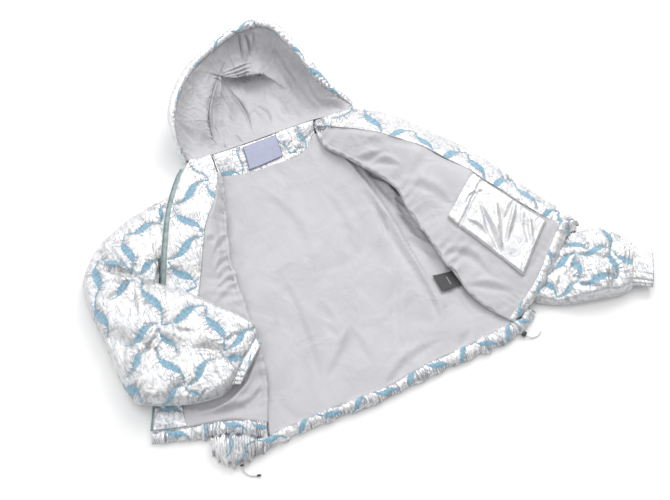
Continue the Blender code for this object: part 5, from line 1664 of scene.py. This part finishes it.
def padded_shell(name):
    """A padded panel whose upper face is pressed down a little under the lining that covers it."""
    top, low = shell_grids(name)
    thick_cloth(name, raised(top, -shell_sink(top, low)), low, "foil", 0.004, 5)


def tucked(upper, foot, bulge, seed):
    """Extra columns that turn a lining's fold down to what it lies on, beyond the last column."""
    edge, inner = upper[:, -1], upper[:, -4]
    out = edge - inner
    out[:, 2] = 0
    out /= np.maximum(np.linalg.norm(out, axis=1, keepdims=True), 1e-9)
    drop = np.maximum(edge[:, 2] - foot, 0.001)
    bulge = bulge * (1 + 0.5 * waves(edge, 0.07, seed) + 0.4 * waves(edge, 0.025, seed + 1))
    extra = []
    for f in np.linspace(0.08, 1.0, 9):
        spot = edge.copy()
        spot[:, 2] = edge[:, 2] - drop * (1 - math.cos(f * math.pi / 2)) if f < 1 else foot
        reach = np.clip(bulge, 0.0, 0.5 * drop) * math.sin(math.pi * min(f, 0.98)) ** 0.8
        spot += out * reach[:, None]
        extra.append(spot)
    return np.concatenate([upper, np.stack(extra, axis=1)], axis=1)


def front_lining(name, fold_last, creases, seed):
    """A front's lining, its fold turned down beyond the last or the first column to what it lies on."""
    coarse = GRIDS[name + "_lining"][0]
    size = sized(coarse, 0.003)
    upper = refine(coarse, *size)
    under_fold = GRIDS[name + "_shell"][1][-coarse.shape[0] :, -1 if fold_last else 0]
    foot = through(under_fold, np.linspace(0, 1, size[0]))[:, 2] - 0.0002
    height = rumpled(upper, 0.13, 0.0016, seed)
    creased(height, upper, creases, CREASE_GAIN)
    height += edge_pucker(upper, 0, True, 0.03, 0.016, 0.0006, seed)
    if not fold_last:
        for cover in ("pocket_patch", "pocket_band"):
            height = pressed(upper, height, cover, 0.004)
    height += edge_pucker(upper, 1, fold_last, 0.024, 0.027, 0.0026, seed + 4)
    top = run_under(raised(upper, held_up(upper, height, name + "_shell")))
    foot = np.concatenate([foot, np.repeat(foot[-1:], 3)])
    top = tucked(top if fold_last else top[:, ::-1], foot, 0.005, seed)
    lower = moved(top, -LINING_THICK if normals(top)[2, 2, 2] > 0 else LINING_THICK)
    thick_cloth(name + "_lining", top, lower, "lining", 0.0005, 1, 0)


def back_pieces():
    """The back's shell, its lining and the neck facing."""
    padded_shell("back_shell")
    coarse = GRIDS["back_lining"][0]
    upper = refine(coarse, *sized(coarse, 0.0032))
    height = rumpled(upper, 0.16, 0.0013, 3)
    creased(height, upper, CREASES_BACK, CREASE_GAIN)
    height += edge_pucker(upper, 0, True, 0.030, 0.017, 0.0005, 2)
    height += edge_pucker(upper, 0, False, 0.015, 0.013, 0.0002, 5)
    height = pressed(upper, height, "label_care", 0.003)
    top = run_under(raised(upper, held_up(upper, height, "back_shell")))
    thick_cloth("back_lining", top, raised(top, -LINING_THICK), "lining", 0.0006, 1, 0)
    foil_facing("neck_facing", LINES_NECK, 11, "label_neck", 0.0032)


def label_pieces():
    """The two bare labels, each curling a little at its free edge and its ends."""
    u, v = np.linspace(0, 1, 30)[:, None], np.linspace(0, 1, 40)[None, :]
    for name, finish, curl in (("label_neck", "neck_label", 0.0012), ("label_care", "care_label", 0.0022)):
        lift = curl * (u**3 + 0.5 * np.abs(2 * v - 1) ** 4)
        top = raised(refine(GRIDS[name][0], 30, 40), lift + 0.0004)
        thick_cloth(name, top, raised(top, -0.0006), finish, 0.0002, 1)


def sleeve_pieces():
    """Both sleeves, quilted and creased, with their leaves."""
    for name, lines, creases, seed in (("sleeve_right", LINES_SLEEVE_RIGHT, CREASES_SLEEVE_RIGHT, 21),
                                       ("sleeve_left", LINES_SLEEVE_LEFT, CREASES_SLEEVE_LEFT, 31)):
        top, low = GRIDS[name]
        size = sized(top, QUILT_STEP)
        top, low = refine(top, *size), refine(low, *size)
        across = np.linspace(0, 1, size[1])
        swell = np.clip(np.minimum(across, 1 - across) * 12, 0, 1)[None, :]
        height, fans = quilted(top[:, :, :2], lines, 0.009, seed)
        height += 0.0011 * crumpled(top, 0.045, seed + 3) + 0.0014 * waves(top, 0.06, seed + 4)
        creased(height, top, creases)
        made = thick_cloth(name, raised(top, height * swell), low, "foil", 0.004, 4, 6, fans)
        leaves(name, made, lines)


def closed_through(ring, count):
    """Points of a smooth closed curve through a ring of points."""
    ring = np.asarray(ring, float)
    looped = np.concatenate([ring[-2:], ring, ring[:3]])
    spans = len(looped) - 1
    where = (2 + np.linspace(0, len(ring), count, endpoint=False)) / spans
    return through(looped, where)


PINCH = 0.42  # how much a casing narrows between its bunches, as a share of its gathers


def pleats(turns, power, middle):
    """Sharp folds, one for each half turn, about 0."""
    return np.abs(np.sin(math.pi * turns)) ** power - middle


def wandering(phase, along, rng, swells, size, pace):
    """A phase made uneven by a few slow swells."""
    for _ in range(swells):
        swell = rng.uniform(*size)
        turn = 2 * math.pi * along * rng.uniform(*pace)
        phase = phase + swell * np.sin(turn + rng.uniform(0, 6))
    return phase


def smooth_tube(rings, count, sides):
    """Fine rings through a coarse tube."""
    return np.stack([closed_through(ring, sides) for ring in through(rings, np.linspace(0, 1, count))])


def gathered(rings, count, sides, gathers, depth, seed):
    """Fine rings through a coarse tube, drawn into uneven gathers."""
    fine = smooth_tube(rings, count, sides)
    rng = np.random.default_rng(seed)
    along = np.linspace(0, 1, count)
    phase = wandering(gathers * along, along, rng, 3, (0.2, 0.5), (2, 7))
    amount = depth * (0.75 + 0.45 * np.sin(along * 23 + seed))
    lean = 0.25 * np.sin(np.linspace(0, 2 * math.pi, sides, endpoint=False) * 2 + seed)
    slip = pleats(phase[:, None] + lean[None, :], 0.55, 0.62)
    slip += 0.5 * pleats(2.37 * phase[:, None] - 2 * lean[None, :], 0.6, 0.6)
    middle = fine.mean(axis=1, keepdims=True)
    out = fine - middle
    size = np.linalg.norm(out, axis=2, keepdims=True)
    fine = middle + out * (1 + (amount[:, None] * slip)[:, :, None] * 0.009 / np.maximum(size, 0.004))
    pinch = 1 + PINCH * depth * np.sin(2 * math.pi * along * gathers / 6.5 + 2.2 * np.sin(along * 17 + seed))
    middle = fine.mean(axis=1, keepdims=True)
    fine = middle + (fine - middle) * pinch[:, None, None]
    fine[:, :, 2] = np.maximum(fine[:, :, 2], 0.0003)
    return fine


# Each hem casing: its leaves, then its rings, its sides, its gathers, how deep they are and their seed.
HEM_TUBES = (
    ("hem_back", LINES_HEM_BACK, 1200, 26, 96, 0.32, 3),
    ("hem_right", LINES_HEM_RIGHT, 420, 24, 28, 0.34, 5),
)


def hem_pieces():
    """The gathered hems and cuffs, with their leaves."""
    for name, lines, *gathers in HEM_TUBES:
        rings = gathered(RINGS[name], *gathers)
        # The hems wear the copy of the foil that is painted lighter.
        leaves(name, tube("cloth_" + name, name, rings, "hem_foil_painted_lighter", 1.0), lines)
    fine, low = (refine(grid, 330, 12) for grid in GRIDS["hem_left"])
    along = np.linspace(0, 1, 330)[:, None]
    ripple = np.sin(math.pi * np.linspace(0, 1, 12) ** 0.8)[None, :]
    height = 0.0030 * pleats(34 * along + 0.8 * np.sin(along * 17), 0.6, 0.6) * ripple
    made = thick_cloth("hem_left", raised(fine, height), low, "foil", 0.003, 4, 4)
    leaves("hem_left", made, LINES_HEM_LEFT)
    for name, lines in (("cuff_right", LINES_CUFF_RIGHT), ("cuff_left", ())):
        rings = gathered(RINGS[name], 26, 150, 1, 0.0, 7)
        turn = np.linspace(0, 2 * math.pi, 150, endpoint=False)
        fold = np.abs(np.sin(9 * turn + 0.6 * np.sin(3 * turn))) ** 0.6 - 0.6
        middle = rings.mean(axis=1, keepdims=True)
        rings = middle + (rings - middle) * (1 + 0.10 * fold)[None, :, None]
        made = tube("cloth_" + name, name, rings, "foil")
        if lines:
            leaves(name, made, lines)


def lattice_lines(u_range, v_range, pitch):
    """Stitched lines of the diagonal quilting that cross a panel, in metres along and across it."""
    found = []
    step = pitch / math.sqrt(2)
    for i in range(-12, 13):
        for j in range(-12, 13):
            u, v = (i + j) * step, (i - j) * step
            for du, dv in ((step, step), (step, -step)):
                middle = (u + du / 2, v + dv / 2)
                if u_range[0] < middle[0] < u_range[1] and v_range[0] < middle[1] < v_range[1]:
                    found.append((u, v, u + du, v + dv))
    return tuple(found)


# The two sides of the hood: the rows where the fine rows start, change their pace and end, and their counts.
HOOD_SIDES = (
    ("right", (0.0, 2.8, HOOD_SEAM_ROW - HOOD_GAP), (60, 130)),
    ("left", (HOOD_SEAM_ROW + HOOD_GAP, 7.0, len(HOOD) - 1), (75, 165)),
)
HOOD_FINE = np.concatenate([
    np.linspace(0, 0.12, 18)[:-1], np.linspace(0.12, 0.40, 56)[:-1], np.linspace(0.40, 1, 62),
])
HOOD_SINK = 0.0105  # how far the lining's folds may sink into the padding


def hood_curve(places, count):
    """Points of a curve on the hood's inner face, through places given as shares along and across it."""
    shares = through(places, np.linspace(0, 1, count))
    return np.array([hood_points(shares[k : k + 1, 0], shares[k : k + 1, 1])[0, 0] for k in range(count)])


def hood_lining(side, along, ends, creases, tucks):
    """One side of the hood's lining with its creases and its overhanging folds."""
    inner = hood_points(along, HOOD_FINE)
    out = hood_outward(inner, along, HOOD_FINE)
    depth = rumpled(inner, 0.10, 0.0030, 41) + 0.0012 * crumpled(inner, 0.05, 43)
    slid = np.zeros_like(inner)
    for row in tucks:
        rise, slide = tuck(inner, out, *row)
        depth += rise
        slid += slide
    for deep, width, points in creases:
        depth += crease(inner, deep, width, *points, dims=3)
    run = along[:, None] * (len(HOOD) - 1) * 0.05
    pucker = np.sin(2 * math.pi * run / 0.021 + 2 * np.sin(run * 70)) * np.exp(-HOOD_FINE[None, :] / 0.10)
    depth += 0.0011 * pucker
    hold = np.clip((1 - HOOD_FINE) / 0.06, 0, 1) * np.clip(HOOD_FINE / 0.02, 0, 1)
    depth *= hold[None, :] * ends[:, None]
    depth = np.maximum(depth, -HOOD_SINK)
    face = inner + slid * (hold[None, :] * ends[:, None])[:, :, None] - out * depth[:, :, None]
    thick_cloth("hood_lining_" + side, face, face + out * 0.0013, "lining", 0.0004, 1, 0)


def hood_shell(side, along, ends):
    """One side of the hood's quilted shell with its leaves."""
    size = (len(along), 70)
    wide = np.linspace(0, 1, size[1])
    base = hood_points(along, wide)
    outward = hood_outward(base, along, wide)
    u, v = cloth_metres(base)
    v = v - v[:, :1]
    plane = np.stack([u, v], axis=2)
    lines = lattice_lines((0.01, u.max() - 0.01), (0.01, v.max() - 0.02), LATTICE)
    puff, _ = quilted(plane, lines, 0.006, 51)
    puff += 0.0009 * crumpled(base, 0.04, 53)
    fade = np.clip((1 - wide) / 0.15, 0, 1)[None, :] * ends[:, None]
    grid = base + outward * (CLOTH + SEAM + HOOD_PADDING + puff * fade)[:, :, None]
    grid[:, :, 2] = np.maximum(grid[:, :, 2], OFF_FLOOR)
    made = thick_cloth("hood_shell_" + side, grid, base + outward * (CLOTH + HOOD_SINK), "foil", 0.002, 3, 0)

    def on_shell(tree, at):
        """The spot and normal on the shell at a place given in metres along and across it."""
        gaps = np.abs(plane[:, :, 0] - at[0]) + np.abs(plane[:, :, 1] - at[1])
        k = int(gaps.argmin())
        if gaps.flat[k] > 0.006:
            return None
        i, j = divmod(k, size[1])
        i, j = min(i, size[0] - 2), min(j, size[1] - 2)
        here = plane[i, j]
        du = (at[0] - here[0]) / max(plane[i + 1, j, 0] - here[0], 1e-6)
        dv = (at[1] - here[1]) / max(plane[i, j + 1, 1] - here[1], 1e-6)
        guess = grid[i, j] + (grid[i + 1, j] - grid[i, j]) * du + (grid[i, j + 1] - grid[i, j]) * dv
        spot, normal, _, _ = tree.find_nearest(Vector(guess))
        if spot is None or spot.z < 0.002:
            return None
        return spot, -normal if normal.dot(Vector(outward[i, j])) < 0 else normal

    leaves("hood_shell_" + side, made, lines, on_shell)


def rim_piece():
    """The gathered casing round the hood's edge, drawn in more on its left side."""
    count, sides = 900, 26
    fine = smooth_tube(RINGS["hood_rim"], count, sides)
    along = np.linspace(0, 1, count)
    rng = np.random.default_rng(8)
    phase = wandering(58 * along, along, rng, 4, (0.25, 0.6), (3, 9))
    amount = 0.25 + 0.75 * np.clip((along - 0.40) / 0.12, 0, 1)
    amount *= 0.75 + 0.35 * np.sin(along * 41)
    turn = np.linspace(0, 2 * math.pi, sides, endpoint=False)
    slip = pleats(phase[:, None] + 0.3 * np.sin(turn * 2)[None, :], 0.55, 0.62)
    middle = fine.mean(axis=1, keepdims=True)
    out = fine - middle
    size = np.linalg.norm(out, axis=2, keepdims=True)
    fine = middle + out * (1 + (amount[:, None] * slip * 0.0036)[:, :, None] / np.maximum(size, 0.004))
    leaves("hood_rim", tube("cloth_hood_rim", "hood_rim", fine, "foil"), LINES_RIM)


def hood_pieces():
    """The hood's linings, shells and rim."""
    creases = [(row[0], row[1], hood_curve(row[2:], 24)) for row in CREASES_HOOD]
    tucks = []
    for row in TUCKS_HOOD:
        beside = hood_points(np.array([row[5][0]]), np.array([row[5][1]]))[0, 0]
        tucks.append((hood_curve(row[6:], 60), *row[:5], beside))
    for side, (first, turn, end), counts in HOOD_SIDES:
        start = np.linspace(first, turn, counts[0], endpoint=False)
        along = np.concatenate([start, np.linspace(turn, end, counts[1])])
        along /= len(HOOD) - 1
        ends = np.clip(np.minimum(along, 1 - along) / 0.03, 0, 1)
        hood_lining(side, along, ends, creases, tucks)
        hood_shell(side, along, ends)
    rim_piece()


# Deep creases where the sleeves are folded: depth, width, then points in plan.
CREASES_SLEEVE_RIGHT = (
    (0.0110, 0.008, (-0.486, 0.160), (-0.462, 0.121), (-0.430, 0.095), (-0.405, 0.086)),
    (0.0080, 0.007, (-0.420, 0.092), (-0.406, 0.060), (-0.392, 0.048), (-0.366, 0.026)),
    (0.0050, 0.006, (-0.421, 0.092), (-0.402, 0.109), (-0.389, 0.138)),
    (0.0050, 0.006, (-0.427, 0.095), (-0.441, 0.150), (-0.448, 0.190)),
    (0.0050, 0.006, (-0.423, 0.088), (-0.456, 0.061), (-0.495, 0.052)),
    (0.0045, 0.006, (-0.420, 0.084), (-0.437, 0.028), (-0.441, -0.018)),
    (0.0040, 0.006, (-0.404, -0.049), (-0.372, -0.082), (-0.340, -0.098)),
    (0.0040, 0.006, (-0.406, -0.052), (-0.436, -0.080), (-0.470, -0.090)),
    (0.0040, 0.006, (-0.308, -0.149), (-0.286, -0.132), (-0.262, -0.128)),
    (0.0040, 0.006, (-0.310, -0.152), (-0.300, -0.185), (-0.298, -0.215)),
    (0.0040, 0.006, (-0.316, -0.146), (-0.350, -0.130), (-0.372, -0.124)),
)
CREASES_SLEEVE_LEFT = (
    (0.0050, 0.006, (0.455, -0.234), (0.430, -0.262), (0.402, -0.272)),
    (0.0050, 0.006, (0.456, -0.236), (0.486, -0.262), (0.500, -0.290)),
    (0.0040, 0.006, (0.374, -0.303), (0.390, -0.280), (0.400, -0.262)),
    (0.0040, 0.006, (0.424, -0.297), (0.440, -0.316), (0.460, -0.328)),
)

LINES_RIM = (
    (0.050, 0.572, 0.091, 0.516, 0.8), (0.086, 0.514, 0.119, 0.440, 0.7), (0.112, 0.440, 0.146, 0.362, 0.8),
    (0.128, 0.372, 0.162, 0.332, 0.8), (-0.010, 0.566, 0.050, 0.578, 0.6),
    (-0.086, 0.518, -0.030, 0.560, 0.5), (-0.152, 0.478, -0.096, 0.520, 0.4),
    (-0.203, 0.406, -0.168, 0.466, 0.35), (-0.222, 0.340, -0.203, 0.404, 0.35),
)


# Folds in the pocket's loose front: depth, width, then points in plan.
CREASES_POCKET = (
    (0.0075, 0.0055, (0.314, -0.060), (0.306, -0.122), (0.301, -0.176)),
    (0.0075, 0.0055, (0.384, -0.078), (0.344, -0.120), (0.314, -0.162)),
    (-0.0050, 0.0080, (0.346, -0.062), (0.324, -0.120), (0.308, -0.170)),
    (0.0030, 0.0050, (0.284, -0.046), (0.308, -0.036), (0.338, -0.034)),
    (0.0030, 0.0050, (0.268, -0.078), (0.286, -0.106), (0.292, -0.140)),
    (0.0030, 0.0055, (0.396, -0.110), (0.378, -0.146), (0.366, -0.186)),
)


def pocket_pieces():
    """The inner pocket's loose front and the band of its mouth."""
    fine, low = (refine(grid, 120, 110) for grid in GRIDS["pocket_patch"])
    u, v = np.linspace(0, 1, 120)[:, None], np.linspace(0, 1, 110)[None, :]
    height = 0.0010 * crumpled(fine, 0.05, 61) + 0.0012 * waves(fine, 0.05, 62)
    creased(height, fine, CREASES_POCKET, CREASE_GAIN)
    hold = np.clip(np.minimum(np.minimum(v, 1 - v) / 0.014, (1 - u) / 0.014), 0, 1)
    height -= 0.0070 * np.exp(-(((u - 0.165) / 0.014) ** 2))
    top = raised(fine, np.maximum(height, -0.0052) * hold + 0.0054 * hold)
    # The pocket and its band wear the copy of the foil that is painted darker, as shade.
    thick_cloth("pocket_patch", top, low, "plain_foil", 0.0008, 2, 0)
    fine, low = (refine(grid, 16, 110) for grid in GRIDS["pocket_band"])
    u = np.linspace(0, 1, 16)[:, None]
    lift = 0.0006 * np.sin(v * 40) * np.sin(math.pi * u)
    lift = lift + 0.0016 - 0.0034 * np.exp(-(((u - 0.55) / 0.13) ** 2))
    thick_cloth("pocket_band", raised(fine, 0.0016 + lift), low, "plain_foil", 0.0008, 2)


TOOTH_PITCH = 0.0017
TOOTH_HALF = 0.0014  # half of a tooth's width, across the tape
TOOTH_RISE = ((-0.0006, 1.0, 1.0), (0.0007, 1.0, 1.0), (0.0011, 0.7, 0.6))  # height, width and length


def teeth(name, line, across):
    """A row of zip teeth along a line."""
    run = np.gradient(line, axis=0)
    run /= np.linalg.norm(run, axis=1, keepdims=True)
    steps = np.concatenate([[0], np.cumsum(np.linalg.norm(np.diff(line, axis=0), axis=1))])
    count = int(steps[-1] / TOOTH_PITCH)
    points, faces = [], []
    for at in np.interp((np.arange(count) + 0.5) / count * steps[-1], steps, np.arange(len(line))):
        k = int(at)
        up = np.cross(run[k], across[k])
        if up[2] < 0:
            up = -up
        first = len(points)
        for level, wide, long in TOOTH_RISE:
            for a, b in ((-1, -1), (1, -1), (1, 1), (-1, 1)):
                beside = across[k] * (TOOTH_HALF * wide * a) + run[k] * (0.00052 * long * b)
                points.append(line[k] + beside + up * level)
        for level in (0, 4):
            for m in range(4):
                a, b = first + level + m, first + level + (m + 1) % 4
                faces.append([a, b, b + 4, a + 4])
        faces.append([first + 8, first + 9, first + 10, first + 11])
        faces.append([first + 3, first + 2, first + 1, first])
    piece("teeth_" + name, points, faces, "tape")


def tape_pieces():
    """Woven tapes, each with a row of interlocking teeth along its free edge."""
    for name in ("zip_tape_right", "zip_tape_left"):
        upper, lower = GRIDS[name]
        rows = max(40, int(np.linalg.norm(np.diff(upper[:, 1], axis=0), axis=1).sum() / 0.002))
        fine, low = refine(upper, rows, 8), refine(lower, rows, 8)
        wave = 0.0005 * np.sin(np.linspace(0, 60, rows))[:, None]
        if name == "zip_tape_right":
            slim = (np.clip((-0.13 - fine[:, :1, 1]) / 0.04, 0, 1) * 0.58)[:, :, None]
            inward = (fine[:, :1] - fine) * slim
            fine, low = fine + inward, low + inward
        thick_cloth(name, raised(fine, wave), low, "tape", 0.0003, 1)
        line = through(fine[:, -2] + np.array([0, 0, 0.0007]), np.linspace(0, 1, rows * 2))
        across = through(fine[:, -1] - fine[:, -4], np.linspace(0, 1, rows * 2))
        across /= np.linalg.norm(across, axis=1, keepdims=True)
        teeth(name, line, across)


EYELET = Vector((-0.3612, -0.3691, 0.006))
TOGGLE = Vector((0.2734, -0.3444, 0.0062))
TOGGLE_TURN = 0.55
# The toggle's outline: places along it and radii.
TOGGLE_OUTLINE = ((-0.0050, 0.0030), (-0.0044, 0.0041), (-0.0010, 0.0045), (0.0012, 0.0045), (0.0022, 0.0041),
                  (0.0024, 0.0034), (0.0030, 0.0034), (0.0032, 0.0038), (0.0050, 0.0037), (0.0056, 0.0030))


def eyelet_ring():
    """The metal ring that the right cord comes out of."""
    spokes, sides = 36, 12
    points, faces = [], []
    for k in range(spokes):
        turn = 2 * math.pi * k / spokes
        spoke = Vector((math.cos(turn), 0.0, math.sin(turn)))
        for m in range(sides):
            roll = 2 * math.pi * m / sides
            thick = Vector((0, 0.0012 * math.sin(roll), 0))
            points.append(EYELET + spoke * (0.0030 + 0.0010 * math.cos(roll)) + thick)
            here, beyond = k * sides, (k + 1) % spokes * sides
            faces.append([here + m, here + (m + 1) % sides, beyond + (m + 1) % sides, beyond + m])
    piece("ring_eyelet_right", points, faces, "metal", ("eyelet_right",))


def toggle_body():
    """The turned toggle at the hem's left end."""
    axis = Vector((math.cos(TOGGLE_TURN), math.sin(TOGGLE_TURN), 0.0))
    side = Vector((-axis.y, axis.x, 0.0))
    rings = []
    for along, radius in TOGGLE_OUTLINE:
        rolls = [2 * math.pi * m / 28 for m in range(28)]
        rings.append([TOGGLE + axis * along + side * (radius * math.cos(roll))
                      + Vector((0, 0, radius * math.sin(roll))) for roll in rolls])
    tube("body_toggle_left", "toggle_left", rings, "toggle")


def small_hardware():
    """The zip box and the cord's tip as packed, with their finishes, and the eyelet and the toggle."""
    for name, finish in (("zip_box", "metal"), ("cord_tip_right", "toggle")):
        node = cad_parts[name]
        node.data.materials.clear()
        node.data.materials.append(finish_of(finish))
    eyelet_ring()
    toggle_body()


def free_cord(name, node, route):
    """A braided cord along its packed route."""
    points = through(np.asarray(route, float), np.linspace(0, 1, 24))
    curve = bpy.data.curves.new(name, "CURVE")
    curve.dimensions = "3D"
    curve.bevel_depth = CORD / 2
    curve.bevel_resolution = 5
    curve.use_fill_caps = True
    spline = curve.splines.new("POLY")
    spline.points.add(len(points) - 1)
    for point, place in zip(spline.points, points):
        point.co = (*place, 1.0)
    curve.materials.append(finish_of("cord"))
    made = linked(name, curve)
    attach(made, "root")
    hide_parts(node)


def cords():
    """The two free ends of the hem's drawcord."""
    free_cord("braid_hem_right", "cord_hem_right", CORD_RIGHT)
    free_cord("braid_hem_left", "cord_hem_left", CORD_LEFT)


def pale_floor():
    """A plain floor that reaches past every view."""
    paint = Paint("pale_floor", (0.93, 0.93, 0.93), 0.0, 0.9, gloss=0.1)
    patch = paint.ranged(paint.noise(3.0, 2.0), 0.3, 0.7)
    paint.use(colour=paint.mixed(patch, (0.925, 0.925, 0.925), (0.94, 0.938, 0.935)))
    mesh = bpy.data.meshes.new("floor")
    shape = bmesh.new()
    bmesh.ops.create_grid(shape, x_segments=8, y_segments=8, size=FLOOR_HALF)
    shape.to_mesh(mesh)
    shape.free()
    mesh.materials.append(paint.material)
    made = linked("floor", mesh)
    made.location = (0, 0, -0.0004)


def forms():
    """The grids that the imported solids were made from."""
    pile = Pile()
    back_edge = back(pile)
    sleeve_right_under(pile)
    sleeve_left(pile)
    front_right(pile)
    hems(pile, back_edge)
    hem_left(pile)
    front_left(pile)
    sleeve_right(pile)
    hood()


camera()
lights()
pale_floor()
cords()
forms()
back_pieces()
label_pieces()
foil_facing("front_right_facing", LINES_FACING_RIGHT, 13)
foil_facing("front_left_facing", LINES_FACING_LEFT, 17)
padded_shell("front_right_shell")
padded_shell("front_left_shell")
front_lining("front_right", True, CREASES_RIGHT, 71)
front_lining("front_left", False, CREASES_LEFT, 72)
pocket_pieces()
tape_pieces()
sleeve_pieces()
hem_pieces()
hood_pieces()
small_hardware()
bpy.context.scene.view_settings.view_transform = "Standard"
